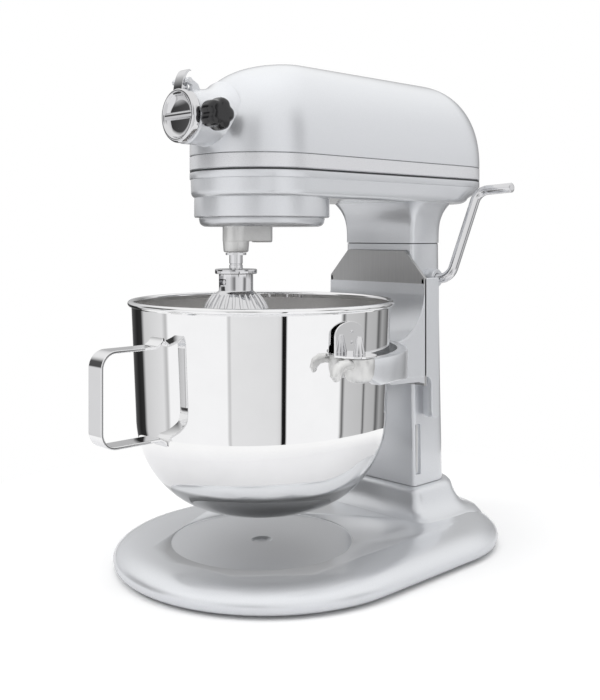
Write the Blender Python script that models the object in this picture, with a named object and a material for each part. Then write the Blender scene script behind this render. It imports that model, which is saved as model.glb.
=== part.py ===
"""Bowl-lift stand mixer: a planetary mixing head on a column, a bowl that a lever raises, and a wide base.

Metres, +Z up, front towards -Y.  Everything is laid out from the bowl axis, the vertical line through the
middle of the bowl, which an empty holds.  The world origin is under the middle of the whole mixer.
"""
import math

import bmesh
import bpy
from mathutils import Matrix, Vector

# Bowl and its handle
BOWL_RIM_RADIUS = 0.1112
BOWL_RIM_Z = 0.2208
BOWL_BOTTOM_Z = 0.0485
BOWL_WALL = 0.0011
BOWL_TOP_RADIUS = BOWL_RIM_RADIUS - 0.0030
BOWL_WAIST_RADIUS = BOWL_RIM_RADIUS - 0.0070
BOWL_WAIST_Z = 0.1260
BOWL_FOOT_RADIUS = 0.0300
HANDLE_REACH = BOWL_RIM_RADIUS + 0.0508
HANDLE_TOP_Z = 0.1905
HANDLE_BOTTOM_Z = 0.1185
HANDLE_HALF_WIDTH = 0.0085
HANDLE_THICKNESS = 0.0022

# Arms round the bowl
ARM_INNER_RADIUS = BOWL_RIM_RADIUS + 0.0018
ARM_THICKNESS = 0.0085
ARM_TOP_Z = 0.1810
ARM_BOTTOM_Z = 0.1480
ARM_END_RISE = 0.0120
EAR_RADIUS = 0.0116
EAR_X = ARM_INNER_RADIUS + 0.0056
EAR_Y = -0.0095
EAR_TOP_Z = ARM_TOP_Z + 0.0022
PIN_RADIUS = 0.0046
PIN_TOP_Z = 0.1990

# Column, and the yoke that slides on it
COLUMN_FRONT = ARM_INNER_RADIUS + 0.0347
COLUMN_HALF_WIDTH = 0.0412
COLUMN_STRAIGHT = COLUMN_FRONT + 0.0313
COLUMN_REAR = COLUMN_FRONT + 0.0603
COLUMN_TOP_Z = 0.2660
COLUMN_WALL = 0.0045
YOKE_HALF_WIDTH = 0.0587
YOKE_FRONT = COLUMN_FRONT - 0.0039
YOKE_TOP_Z = 0.2600
YOKE_BOTTOM_Z = 0.1075
YOKE_PLATE_BOTTOM_Z = 0.1380
LATCH_Z = 0.1880

# Base
BASE_HALF_WIDTH = 0.1302
BASE_FRONT_CENTRE = 0.0090
BASE_REAR = COLUMN_FRONT + 0.0753
BASE_CORNER = 0.1000
BASE_TOP_Z = 0.0196
BASE_BOTTOM_Z = 0.0020
PEDESTAL_TOP_Z = 0.0435

# Head
HEAD_TOP = 0.4190
HEAD_HALF_WIDTH = 0.0600
HEAD_REAR = COLUMN_FRONT + 0.1198
HEAD_SEAM_Z = 0.3262
HEAD_UNDERSIDE_Z = 0.3040
HEAD_WALL = 0.0032
CHAMBER_ROOF_Z = 0.3045
GEARCASE_FLOOR_Z = 0.3085
BAND_LOW = 0.3272
BAND_HIGH = 0.3388
BAND_DEPTH = 0.0012
GAP = 0.0003

# Lift lever
LEVER_RADIUS = 0.0045
LEVER_AXIS_Y = COLUMN_FRONT + 0.0233
LEVER_AXIS_Z = 0.2340
LEVER_ARM_X = HEAD_HALF_WIDTH + 0.0065
LEVER_ELBOW_Y = LEVER_AXIS_Y + 0.0440
LEVER_ELBOW_Z = LEVER_AXIS_Z + 0.0815
LEVER_TIP_X = LEVER_ARM_X + 0.0375
LEVER_SWING = math.radians(120)
CRANK_START = math.radians(100)
LIFT_TRAVEL = 0.0280
CRANK_LENGTH = LIFT_TRAVEL / (math.sin(CRANK_START) - math.sin(CRANK_START - LEVER_SWING))

# Planetary drive
ECCENTRICITY = 0.0285
RING_TEETH = 36
PINION_TEETH = 12
RING_MODULE = 2 * ECCENTRICITY / (RING_TEETH - PINION_TEETH)
RING_OUTER_RADIUS = RING_TEETH * RING_MODULE / 2 + 0.00945
SKIRT_RADIUS = RING_OUTER_RADIUS + 0.0044
SKIRT_BOTTOM_Z = 0.2885
DISC_RADIUS = RING_OUTER_RADIUS + 0.0005
DISC_BOTTOM_Z = 0.2810
DISC_TOP_Z = 0.2893
WEB_BOTTOM_Z = 0.2690
AGITATOR_RADIUS = 0.0055
SHAFT_PIN_Z = 0.2360
CENTRE_SHAFT_RADIUS = 0.0055
PINION_TIP_RADIUS = (PINION_TEETH / 2 + 1) * RING_MODULE
CENTRE_BOSS_RADIUS = ECCENTRICITY - PINION_TIP_RADIUS - 0.000375
SHAFT_CLEARANCE = 0.0001
CENTRE_TEETH = 36
TRANSFER_TEETH = 12
GEAR_MODULE = 0.0014583
GEAR_LOW_Z = 0.3300
GEAR_HIGH_Z = 0.3380
TRANSFER_SHAFT_RADIUS = 0.0040
WORM_WHEEL_TEETH = 18
WORM_STARTS = 2
WORM_MODULE = 0.0015
WORM_RADIUS = 0.0055
BEVEL_MODULE = 0.0020
CENTRE_BEVEL_TEETH = 15
HUB_BEVEL_TEETH = 9
BACKLASH = 0.00022
PRESSURE_ANGLE = math.radians(25)

# Attachment hub
HUB_Z = 0.3672
HUB_RADIUS = 0.0220
HUB_BORE = 0.0164
HUB_FRONT = -HEAD_HALF_WIDTH - 0.0215
HUB_SOCKET = 0.0050
CAP_FRONT = HUB_FRONT - 0.0073
CAP_RADIUS = HUB_RADIUS - 0.0005
HINGE_Y = HUB_FRONT - 0.0020
HINGE_Z = HUB_Z + HUB_RADIUS + 0.0043
HINGE_RADIUS = 0.0013
KNOB_RADIUS = 0.0123
KNOB_Y = HUB_FRONT + 0.0075
KNOB_Z = 0.3665
KNOB_BORE = 0.0033

# Motor
MOTOR_Z = 0.3720
MOTOR_SHAFT_RADIUS = 0.0035
STATOR_RADIUS = 0.0370
ARMATURE_RADIUS = 0.0215
BRACKET_THICKNESS = 0.0040
REAR_BRACKET_Y = HEAD_REAR - HEAD_HALF_WIDTH - BRACKET_THICKNESS

# Speed lever, on the left of the head
SPEED_FRONT = 0.1500
SPEED_TRAVEL = 0.0300
SPEED_Z = 0.3500

# Whip
WHIP_COLLAR_TOP_Z = 0.2464
WHIP_HUB_BOTTOM_Z = 0.2120
WHIP_BOTTOM_Z = 0.0560
WHIP_RADIUS = 0.0500
WHIP_LEGS = 12
WIRE_RADIUS = 0.0011

# The origin is under the middle of the box from the handle's front to the head's rear
AXIS_Y = (HANDLE_REACH - HEAD_REAR) / 2

FINISHES = {
    "silver_paint": ((0.70, 0.71, 0.73), 0.28, 0.75),
    "satin_metal": ((0.62, 0.62, 0.63), 0.38, 1.0),
    "polished_steel": ((0.82, 0.82, 0.83), 0.08, 1.0),
    "chrome": ((0.85, 0.85, 0.87), 0.06, 1.0),
    "gear_steel": ((0.45, 0.45, 0.47), 0.40, 1.0),
    "bronze": ((0.55, 0.38, 0.16), 0.40, 1.0),
    "black_plastic": ((0.02, 0.02, 0.022), 0.12, 0.0),
    "grey_plastic": ((0.30, 0.30, 0.31), 0.50, 0.0),
    "rubber": ((0.10, 0.10, 0.10), 0.80, 0.0),
    "copper": ((0.72, 0.36, 0.20), 0.40, 1.0),
    "band": ((0.76, 0.77, 0.79), 0.30, 0.60),
}


def clear_scene():
    for old in list(bpy.data.objects):
        bpy.data.objects.remove(old, do_unlink=True)


def empty(name, place, parent=None):
    holder = bpy.data.objects.new(name, None)
    holder.empty_display_size = 0.02
    bpy.context.collection.objects.link(holder)
    holder.parent = parent
    holder.location = place
    return holder


clear_scene()
ROOT = empty("bowl_axis", (0, AXIS_Y, 0))


def finish(node, slot):
    colour, roughness, metallic = FINISHES[slot]
    mat = bpy.data.materials.new(node + "_" + slot)
    mat.use_nodes = True
    shader = mat.node_tree.nodes["Principled BSDF"]
    shader.inputs["Base Color"].default_value = (*colour, 1)
    shader.inputs["Roughness"].default_value = roughness
    shader.inputs["Metallic"].default_value = metallic
    return mat


def face_outwards(bm):
    """Makes the faces agree, then turns them all if the signed volume is negative."""
    bmesh.ops.recalc_face_normals(bm, faces=bm.faces)
    if bm.calc_volume(signed=True) < 0:
        bmesh.ops.reverse_faces(bm, faces=bm.faces)


def add(name, bm, slot, pivot=(0, 0, 0)):
    """Makes a node from a bmesh given from the bowl axis; its origin goes to the pivot."""
    face_outwards(bm)
    bmesh.ops.translate(bm, verts=bm.verts, vec=-Vector(pivot))
    mesh = bpy.data.meshes.new(name)
    bm.to_mesh(mesh)
    bm.free()
    mesh.shade_smooth()
    mesh.set_sharp_from_angle(angle=math.radians(35))
    obj = bpy.data.objects.new(name, mesh)
    mesh.materials.append(finish(name, slot))
    bpy.context.collection.objects.link(obj)
    obj.parent = ROOT
    obj.location = pivot
    return obj


def tool(obj, bm, operation):
    """Cuts a shape from a node, or joins one to it, with a hidden helper object."""
    face_outwards(bm)
    bmesh.ops.translate(bm, verts=bm.verts, vec=-obj.location)
    number = len(obj.modifiers)
    mesh = bpy.data.meshes.new(obj.name + "_tool")
    bm.to_mesh(mesh)
    bm.free()
    helper = bpy.data.objects.new(f"{obj.name}_tool_{number}", mesh)
    bpy.context.collection.objects.link(helper)
    helper.parent = ROOT
    helper.location = obj.location
    helper.hide_render = True
    helper.display_type = "WIRE"
    boolean = obj.modifiers.new(f"{operation.lower()}_{number}", "BOOLEAN")
    boolean.operation = operation
    boolean.solver = "EXACT"
    boolean.object = helper


def cut(obj, bm):
    tool(obj, bm, "DIFFERENCE")


def join(obj, bm):
    tool(obj, bm, "UNION")


def loft(rings, closed=False):
    """A skin over rings of equal length; the ends are capped unless the rings close on themselves."""
    bm = bmesh.new()
    rows = [[bm.verts.new(p) for p in ring] for ring in rings]
    count = len(rows[0])
    pairs = list(zip(rows, rows[1:]))
    if closed:
        pairs.append((rows[-1], rows[0]))
    for low, high in pairs:
        for i in range(count):
            j = (i + 1) % count
            bm.faces.new((low[i], low[j], high[j], high[i]))
    if not closed:
        bm.faces.new(list(reversed(rows[0])))
        bm.faces.new(rows[-1])
    return bm


def circle(radius, height, sides, centre=(0, 0), phase=0.0):
    return [(centre[0] + radius * math.cos(phase + 2 * math.pi * i / sides),
             centre[1] + radius * math.sin(phase + 2 * math.pi * i / sides), height) for i in range(sides)]


def turned(profile, sides, centre=(0, 0), closed=False, phase=0.0):
    """A vertical turned piece; the profile is (radius, height) pairs, closed for a ring."""
    return loft([circle(r, z, sides, centre, phase) for r, z in profile], closed)


def cylinder(radius, low, high, sides=24, centre=(0, 0)):
    return turned([(radius, low), (radius, high)], sides, centre)


def tube(outer, inner, low, high, sides=24, centre=(0, 0)):
    return turned([(inner, low), (outer, low), (outer, high), (inner, high)], sides, centre, closed=True)


def along_y(bm, centre=(0, 0)):
    """Lays a vertical shape down: its height becomes y, and its middle goes to (x, z)."""
    turn = Matrix(((1, 0, 0, centre[0]), (0, 0, 1, 0), (0, -1, 0, centre[1]), (0, 0, 0, 1)))
    bmesh.ops.transform(bm, matrix=turn, verts=bm.verts)
    return bm


def along_x(bm, centre=(0, 0)):
    """Lays a vertical shape down: its height becomes x, and its middle goes to (y, z)."""
    turn = Matrix(((0, 0, 1, 0), (1, 0, 0, centre[0]), (0, 1, 0, centre[1]), (0, 0, 0, 1)))
    bmesh.ops.transform(bm, matrix=turn, verts=bm.verts)
    return bm


def box(x0, x1, y0, y1, z0, z1):
    return loft([[(x0, y0, z), (x1, y0, z), (x1, y1, z), (x0, y1, z)] for z in (z0, z1)])


def prism(outline, low, high):
    return loft([[(x, y, z) for x, y in outline] for z in (low, high)])


def side_prism(outline, x0, x1):
    """An outline of (y, z) points given a width along x."""
    return loft([[(x, y, z) for y, z in outline] for x in (x0, x1)])


def mirrored(bm):
    bmesh.ops.scale(bm, vec=(-1, 1, 1), verts=bm.verts)
    return bm


def swept(path, radius, sides=12, end_radius=None):
    """A round bar along a path of points, with flat ends."""
    points = [Vector(p) for p in path]
    tangents = []
    for i in range(len(points)):
        before = points[max(i - 1, 0)]
        after = points[min(i + 1, len(points) - 1)]
        tangents.append((after - before).normalized())
    side = tangents[0].orthogonal().normalized()
    rings = []
    for i, (point, tangent) in enumerate(zip(points, tangents)):
        side = (side - tangent * side.dot(tangent)).normalized()
        other = tangent.cross(side)
        r = radius if end_radius is None else radius + (end_radius - radius) * i / (len(points) - 1)
        rings.append([point + (side * math.cos(a) + other * math.sin(a)) * r
                      for a in (2 * math.pi * k / sides for k in range(sides))])
    return loft(rings)


def rounded_path(corners, radius, steps=4):
    """Points along straight runs whose corners are arcs of the given radius."""
    points = [Vector(c) for c in corners]
    path = [points[0]]
    for before, corner, after in zip(points, points[1:], points[2:]):
        back = (before - corner).normalized()
        on = (after - corner).normalized()
        half = back.angle(on) / 2
        reach = radius / math.tan(half)
        middle = corner + (back + on).normalized() * (radius / math.sin(half))
        start = (corner + back * reach - middle).normalized()
        end = (corner + on * reach - middle).normalized()
        for k in range(steps + 1):
            path.append(middle + start.slerp(end, k / steps) * radius)
    path.append(points[-1])
    return path


# Plan outlines

def head_outline(half, front, rear, steps=8):
    """A long outline with a half-round front and rear end, from the front's middle round by +x."""
    front_centre = front + half
    rear_centre = rear - half
    points = []
    for i in range(steps + 1):
        a = -math.pi / 2 - math.pi / 2 + math.pi * i / steps
        points.append((half * math.cos(a), front_centre + half * math.sin(a)))
    for i in range(steps + 1):
        a = math.pi * i / steps
        points.append((half * math.cos(a), rear_centre + half * math.sin(a)))
    return points


def column_outline(half, front, straight, rear, grow=0.0, steps=8, corner=0.004):
    """A D shape: flat front with small corners, straight sides, a half-round back."""
    w = half + grow
    f = front - grow
    r = rear + grow
    points = [(-w, f + corner), (-w + corner, f), (w - corner, f), (w, f + corner)]
    for i in range(steps + 1):
        a = math.pi * i / steps
        points.append((w * math.cos(a), straight + (r - straight) * math.sin(a)))
    return points


def column_section(z, grow=0.0):
    """The column at a height: it widens and its back runs out towards the base."""
    drop = (COLUMN_TOP_Z - z) / (COLUMN_TOP_Z - PEDESTAL_TOP_Z)
    half = COLUMN_HALF_WIDTH + 0.0026 * drop
    straight = COLUMN_STRAIGHT + 0.0040 * drop ** 1.5
    rear = COLUMN_REAR + 0.0020 * drop ** 1.5
    return column_outline(half, COLUMN_FRONT, straight, rear, grow)


def base_outline(inset, steps=12):
    """A round front, straight sides and a rear end with large corners."""
    half = BASE_HALF_WIDTH - inset
    rear = BASE_REAR - inset
    corner = BASE_CORNER - inset
    points = []
    for i in range(steps + 1):
        a = math.pi + math.pi * i / steps
        points.append((half * math.cos(a), BASE_FRONT_CENTRE + half * math.sin(a)))
    for i in range(steps // 2 + 1):
        a = math.pi / 2 * i / (steps // 2)
        points.append((half - corner + corner * math.cos(a), rear - corner + corner * math.sin(a)))
    for i in range(steps // 2 + 1):
        a = math.pi / 2 + math.pi / 2 * i / (steps // 2)
        points.append((-half + corner + corner * math.cos(a), rear - corner + corner * math.sin(a)))
    return points


# Gears

def involute(radius, base):
    if radius <= base:
        return 0.0
    angle = math.acos(base / radius)
    return math.tan(angle) - angle


def gear_outline(teeth, module, phase, backlash=BACKLASH, addendum=0.8, dedendum=1.0, fine=False):
    """A spur gear's outline, one tooth centred on the phase angle; fine gives its flanks a third point."""
    pitch = teeth * module / 2
    base = pitch * math.cos(PRESSURE_ANGLE)
    half_pitch = math.pi / (2 * teeth) - backlash / (2 * pitch)
    levels = [pitch - dedendum * module, pitch + addendum * module]
    if fine:
        levels.insert(1, pitch)
    flank = [(r, half_pitch + involute(pitch, base) - involute(r, base)) for r in levels]
    points = []
    for k in range(teeth):
        middle = phase + 2 * math.pi * k / teeth
        tooth = [(r, middle - half) for r, half in flank]
        tooth += [(r, middle + half) for r, half in reversed(flank)]
        points += [(r * math.cos(a), r * math.sin(a)) for r, a in tooth]
    return points


def spur_gear(outline, low, high, centre=(0, 0), twist=0.0):
    """A gear from its outline; a twist over its width makes it helical."""
    rings = []
    for z in (low, high) if twist == 0 else (low, (low + high) / 2, high):
        a = twist * (z - (low + high) / 2)
        rings.append([(centre[0] + x * math.cos(a) - y * math.sin(a),
                       centre[1] + x * math.sin(a) + y * math.cos(a), z) for x, y in outline])
    return loft(rings)


def bevel_gear(teeth, mate_teeth, phase, bore, hub_length):
    """A straight bevel gear on a vertical axis, its apex at the origin and its teeth facing up."""
    radius = teeth * BEVEL_MODULE / 2
    depth = mate_teeth * BEVEL_MODULE / 2
    slant = math.hypot(radius, depth)
    inner = 0.62
    tooth = []
    for a, side in ((-1.05, -1), (0.75, -1), (0.75, 1), (-1.05, 1)):
        height = a * BEVEL_MODULE
        half = math.pi * BEVEL_MODULE / 4 - BACKLASH - height * math.tan(PRESSURE_ANGLE)
        reach = radius + height * depth / slant
        tooth.append((reach, -depth + height * radius / slant, side * half / radius))
    outer_ring = []
    for k in range(teeth):
        for r, z, offset in tooth:
            a = phase + 2 * math.pi * k / teeth + offset
            outer_ring.append((r * math.cos(a), r * math.sin(a), z))
    inner_ring = [(x * inner, y * inner, z * inner) for x, y, z in outer_ring]
    count = len(outer_ring)
    start = math.atan2(outer_ring[0][1], outer_ring[0][0])
    low = -depth - hub_length
    high = -depth * inner - 0.0008
    back = circle(radius - 0.0022, low, count, phase=start)
    return loft([circle(bore, low, count, phase=start), back, outer_ring, inner_ring,
                 circle(bore, high, count, phase=start)], closed=True)


def worm(centre_y, low, high, phase):
    """A worm on the y axis: a section with one lobe for each start, turned steadily along its length."""
    lead = WORM_STARTS * math.pi * WORM_MODULE
    sides = 14
    root = WORM_RADIUS - 1.0 * WORM_MODULE
    tip = WORM_RADIUS + 0.75 * WORM_MODULE
    rings = []
    steps = int((high - low) / lead * 12)
    for k in range(steps + 1):
        y = low + (high - low) * k / steps
        turn = phase + 2 * math.pi * (y - centre_y) / lead
        ring = []
        for i in range(sides):
            local = 2 * math.pi * i / sides
            lobe = abs((local * WORM_STARTS / (2 * math.pi) + 0.5) % 1 - 0.5) * 2
            share = min(max((0.62 - lobe) / 0.34, 0.0), 1.0)
            r = root + (tip - root) * share
            a = turn + local
            ring.append((r * math.sin(a), y, r * math.cos(a)))
        rings.append(ring)
    return loft(rings)


# Base, feet and column

FOOT_RADIUS = 0.0080
FOOT_INSET = 0.0150
FOOT_HEIGHT = 0.0050
BOLT_RADIUS = 0.0030
BOLT_PLACES = [(x, COLUMN_FRONT + back) for x in (-0.026, 0.026) for back in (0.0163, 0.0403)]
COLUMN_FLOOR_Z = 0.0560
UNDERSIDE_Z = 0.0135
COLUMN_MIDDLE = COLUMN_FRONT + 0.0303
BOLT_TOP_Z = 0.0530


def foot_places():
    side = BASE_HALF_WIDTH - FOOT_INSET
    reach = (BASE_CORNER - FOOT_INSET) * math.sqrt(0.5)
    rear = (BASE_HALF_WIDTH - BASE_CORNER + reach, BASE_REAR - BASE_CORNER + reach)
    places = [(0, BASE_FRONT_CENTRE - side)]
    for x, y in ((side, BASE_FRONT_CENTRE + 0.035), rear):
        places += [(-x, y), (x, y)]
    return places


def make_base():
    edge = ((BASE_BOTTOM_Z, 0.0045), (0.0050, 0.0012), (0.0090, 0.0), (0.0135, 0.0018), (0.0168, 0.0058),
            (BASE_TOP_Z - 0.0008, 0.0110), (BASE_TOP_Z, 0.0180))
    slab = loft([[(x, y, z) for x, y in base_outline(inset)] for z, inset in edge])
    obj = add("base_casting", slab, "silver_paint")
    flare = ((0.0100, 0.030), (0.0190, 0.030), (0.0212, 0.0215), (0.0262, 0.0140), (0.0330, 0.0100),
             (0.0395, 0.0085), (PEDESTAL_TOP_Z - 0.0015, 0.0080), (PEDESTAL_TOP_Z, 0.0062))
    rings = []
    for z, grow in flare:
        ring = []
        for x, y in column_section(PEDESTAL_TOP_Z):
            out = Vector((x, y - COLUMN_MIDDLE)).normalized()
            back = 1 - 0.75 * max(out.y, 0)
            ring.append((x + out.x * grow, y + out.y * grow * back, z))
        rings.append(ring)
    join(obj, loft(rings))
    cut(obj, turned([(0.0760, BASE_TOP_Z - 0.0012), (0.0764, BASE_TOP_Z + 0.002)], 36))
    cut(obj, turned([(0.0215, BASE_TOP_Z - 0.0026), (0.0300, BASE_TOP_Z + 0.0)], 20))
    cut(obj, prism(base_outline(0.026, 8), BASE_BOTTOM_Z - 0.01, UNDERSIDE_Z))
    for x, y in foot_places():
        cut(obj, cylinder(FOOT_RADIUS + GAP, -0.005, FOOT_HEIGHT + GAP, 12, (x, y)))
    for place in BOLT_PLACES:
        cut(obj, cylinder(BOLT_RADIUS + GAP, 0.005, PEDESTAL_TOP_Z + 0.01, 10, place))


def make_feet():
    for k, place in enumerate(foot_places(), 1):
        profile = [(FOOT_RADIUS - 0.0012, 0), (FOOT_RADIUS, 0.0012), (FOOT_RADIUS, FOOT_HEIGHT)]
        add(f"rubber_foot_{k}", turned(profile, 12, place), "rubber")


def make_column_bolts():
    for k, place in enumerate(BOLT_PLACES, 1):
        shank = cylinder(BOLT_RADIUS, UNDERSIDE_Z - GAP - 0.002, BOLT_TOP_Z, 10, place)
        obj = add(f"column_bolt_{k}", shank, "gear_steel")
        join(obj, turned([(0.0055, UNDERSIDE_Z - GAP - 0.0040), (0.0055, UNDERSIDE_Z - GAP)], 6, place))


def make_column():
    levels = [PEDESTAL_TOP_Z + GAP, 0.075, 0.110, 0.150, 0.200, COLUMN_TOP_Z]
    outside = loft([[(x, y, z) for x, y in column_section(z)] for z in levels])
    obj = add("column_casting", outside, "silver_paint")
    inner = [COLUMN_FLOOR_Z, 0.110, 0.150, 0.200, COLUMN_TOP_Z + 0.02]
    rings = [[(x, y, z) for x, y in column_section(min(z, COLUMN_TOP_Z), -COLUMN_WALL)] for z in inner]
    cut(obj, loft(rings))
    cut(obj, box(-0.0085, 0.0085, COLUMN_FRONT - 0.01, COLUMN_FRONT + 0.012, 0.1500, 0.2080))
    cut(obj, along_x(cylinder(LEVER_RADIUS + SHAFT_CLEARANCE, -0.06, 0.06, 24), (LEVER_AXIS_Y, LEVER_AXIS_Z)))
    for side in (-1, 1):
        ends = sorted((side * 0.0420, side * 0.0460))
        cut(obj, box(*ends, COLUMN_FRONT + 0.0035, COLUMN_FRONT + 0.0081, 0.0520, 0.1010))
    cut(obj, cylinder(0.0100, 0.03, 0.08, 20, (0, COLUMN_MIDDLE)))
    for place in BOLT_PLACES:
        cut(obj, cylinder(BOLT_RADIUS + GAP, 0.03, BOLT_TOP_Z + 0.0005, 10, place))


# Head

HEAD_BACK_TUCK = 0.0225
SCREW_X = HEAD_HALF_WIDTH - 0.0115
SCREW_BOSS_RADIUS = 0.0052
SCREW_Y = REAR_BRACKET_Y - 0.0075
SCREW_PLACES = ((-SCREW_X, SCREW_Y), (SCREW_X, SCREW_Y))


def head_level(share, inset=0.0):
    """Half width, front and rear of the upper shell where its height is a share of the way to the crest."""
    width = (1 - share ** 2.5) ** (1 / 2.5)
    front = (1 - share ** 2.75) ** (1 / 2.75)
    rear = (1 - share ** 2.2) ** (1 / 2.2)
    half = (HEAD_HALF_WIDTH - inset) * width
    y_front = 0.045 - (0.045 + HEAD_HALF_WIDTH + 0.0005 - inset) * front
    y_rear = 0.190 + (HEAD_REAR - 0.190 - inset) * rear
    return half, y_front, y_rear


def shell_rings(inset, low, groove=False):
    """The upper shell's levels from its open bottom to its crest; the groove holds the trim band."""
    shoulder = 0.3400
    crest = HEAD_TOP - inset
    foot = [(low, inset)]
    if groove:
        foot += [(BAND_LOW, 0.0), (BAND_LOW, BAND_DEPTH), (BAND_HIGH, BAND_DEPTH), (BAND_HIGH, 0.0)]
    rings = [[(x, y, z) for x, y in head_outline(*head_level(0, depth))] for z, depth in foot]
    levels = 8
    for k in range(levels):
        share = math.sin(math.pi / 2 * k / (levels - 0.75))
        z = shoulder + (crest - shoulder) * share
        rings.append([(x, y, z) for x, y in head_outline(*head_level(share, inset))])
    return rings


def make_gearcase():
    top = HEAD_SEAM_Z - GAP
    rings = []
    for z, inset, tuck in ((HEAD_UNDERSIDE_Z, 0.0048, 1.0), (0.3060, 0.0018, 0.88), (0.3100, 0.0012, 0.62),
                           (0.3160, 0.0008, 0.34), (0.3205, 0.0004, 0.16), (top, 0.0002, 0.0)):
        half = HEAD_HALF_WIDTH - inset
        outline = head_outline(half, -half, HEAD_REAR - inset - HEAD_BACK_TUCK * tuck)
        rings.append([(x, y, z) for x, y in outline])
    obj = add("gearcase", loft(rings), "silver_paint")
    neck = []
    for z, grow in ((COLUMN_TOP_Z + GAP, 0.0008), (0.2780, 0.0012), (0.2870, 0.0026), (0.2950, 0.0058),
                    (0.3010, 0.0105), (0.3072, 0.0152)):
        neck.append([(x, y, z) for x, y in column_section(COLUMN_TOP_Z, grow)])
    join(obj, loft(neck))
    join(obj, cylinder(SKIRT_RADIUS, SKIRT_BOTTOM_Z, 0.3066, 40))
    cavity = HEAD_HALF_WIDTH - HEAD_WALL - 0.0035
    outline = head_outline(cavity, -cavity, HEAD_REAR - HEAD_BACK_TUCK - HEAD_WALL - 0.004, 8)
    cut(obj, prism(outline, GEARCASE_FLOOR_Z, HEAD_SEAM_Z + 0.01))
    cut(obj, cylinder(SKIRT_RADIUS - 0.0034, SKIRT_BOTTOM_Z - 0.01, CHAMBER_ROOF_Z, 40))
    passage = [(x, y) for x, y in column_section(COLUMN_TOP_Z, -COLUMN_WALL)]
    cut(obj, prism(passage, COLUMN_TOP_Z - 0.01, 0.3150))
    cut(obj, cylinder(CENTRE_SHAFT_RADIUS + 0.0004, 0.29, 0.32, 24))
    for place in SCREW_PLACES:
        join(obj, cylinder(0.0050, 0.3062, top - 0.0006, 18, place))
        cut(obj, cylinder(0.0022, 0.29, 0.34, 12, place))
        cut(obj, cylinder(0.0040, 0.29, 0.3074, 12, place))


def make_upper_housing():
    obj = add("motor_head_housing", loft(shell_rings(0.0, HEAD_SEAM_Z, groove=True)), "silver_paint")
    join(obj, along_y(turned([(HUB_RADIUS, HUB_FRONT), (HUB_RADIUS, -0.0560), (HUB_RADIUS + 0.003, -0.0420),
                              (HUB_RADIUS + 0.003, -0.0350)], 32), (0, HUB_Z)))
    cut(obj, loft(shell_rings(HEAD_WALL, HEAD_SEAM_Z - 0.01)))
    join(obj, along_y(turned([(HUB_RADIUS - 0.001, -0.0560), (HUB_RADIUS - 0.001, -0.0240)], 32), (0, HUB_Z)))
    cut(obj, along_y(cylinder(HUB_BORE, HUB_FRONT - 0.01, -0.0300, 32), (0, HUB_Z)))
    cut(obj, along_y(cylinder(0.0064, -0.05, 0.0, 24), (0, HUB_Z)))
    for side in (-1, 1):
        ear = hinge_lug(side * 0.0064, side * 0.0100)
        join(obj, ear)
    cut(obj, along_x(cylinder(HINGE_RADIUS + SHAFT_CLEARANCE, -0.02, 0.02, 20), (HINGE_Y, HINGE_Z)))
    cut(obj, along_x(cylinder(KNOB_BORE, 0.010, 0.030, 16), (KNOB_Y, KNOB_Z)))
    for x, y in SCREW_PLACES:
        foot = circle(SCREW_BOSS_RADIUS, HEAD_SEAM_Z + 0.0006, 16, (x, y))
        top = circle(SCREW_BOSS_RADIUS, 0.3400, 16, (x * 1.10, y))
        join(obj, loft([foot, top]))
        cut(obj, cylinder(0.0018, 0.32, 0.3380, 12, (x, y)))
    cut(obj, box(-HEAD_HALF_WIDTH - 0.015, -HEAD_HALF_WIDTH + 0.015, SPEED_FRONT - 0.003,
                 SPEED_FRONT + SPEED_TRAVEL + 0.003, SPEED_Z - 0.0022, SPEED_Z + 0.0022))


def make_trim_band():
    low = BAND_LOW + GAP
    high = BAND_HIGH - GAP
    inner = head_outline(*head_level(0, BAND_DEPTH - GAP))
    outer = head_outline(*head_level(0, -0.0001))
    rings = [(inner, low), (outer, low), (outer, high), (inner, high)]
    add("trim_band", loft([[(x, y, z) for x, y in line] for line, z in rings], closed=True), "band")


def make_housing_screws():
    for k, place in enumerate(SCREW_PLACES, 1):
        obj = add(f"housing_screw_{k}", cylinder(0.0015, 0.3050, 0.3370, 8, place), "gear_steel")
        join(obj, cylinder(0.0036, 0.3045, 0.3070, 8, place))


# Planetary drive

def make_ring_gear():
    low = SKIRT_BOTTOM_Z + 0.0020
    obj = add("ring_gear", cylinder(RING_OUTER_RADIUS, low, CHAMBER_ROOF_Z - GAP, 40), "gear_steel")
    space = gear_outline(RING_TEETH, RING_MODULE, -math.pi / 2, -BACKLASH, 1.05, 0.75)
    cut(obj, spur_gear(space, low - 0.01, 0.32))


def make_planetary():
    profile = [(DISC_RADIUS - 0.0050, DISC_BOTTOM_Z), (DISC_RADIUS - 0.0018, DISC_BOTTOM_Z + 0.0008),
               (DISC_RADIUS - 0.0004, DISC_BOTTOM_Z + 0.0026), (DISC_RADIUS, DISC_BOTTOM_Z + 0.0050),
               (DISC_RADIUS - 0.0008, DISC_TOP_Z)]
    obj = add("planetary_housing", turned(profile, 40), "satin_metal")
    join(obj, turned([(CENTRE_BOSS_RADIUS, 0.2880), (CENTRE_BOSS_RADIUS, 0.3035)], 24))
    join(obj, cylinder(0.0085, 0.2680, 0.2820, 24))
    join(obj, prism(arm_outline(), WEB_BOTTOM_Z, DISC_BOTTOM_Z + 0.0010))
    join(obj, turned([(0.0090, 0.2600), (0.0102, 0.2608), (0.0108, 0.2690), (0.0108, 0.2820)], 24,
                     (0, -ECCENTRICITY)))
    cut(obj, cylinder(CENTRE_SHAFT_RADIUS + SHAFT_CLEARANCE, 0.2720, 0.32, 32))
    cut(obj, cylinder(AGITATOR_RADIUS + SHAFT_CLEARANCE, 0.25, 0.30, 32, (0, -ECCENTRICITY)))


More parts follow.
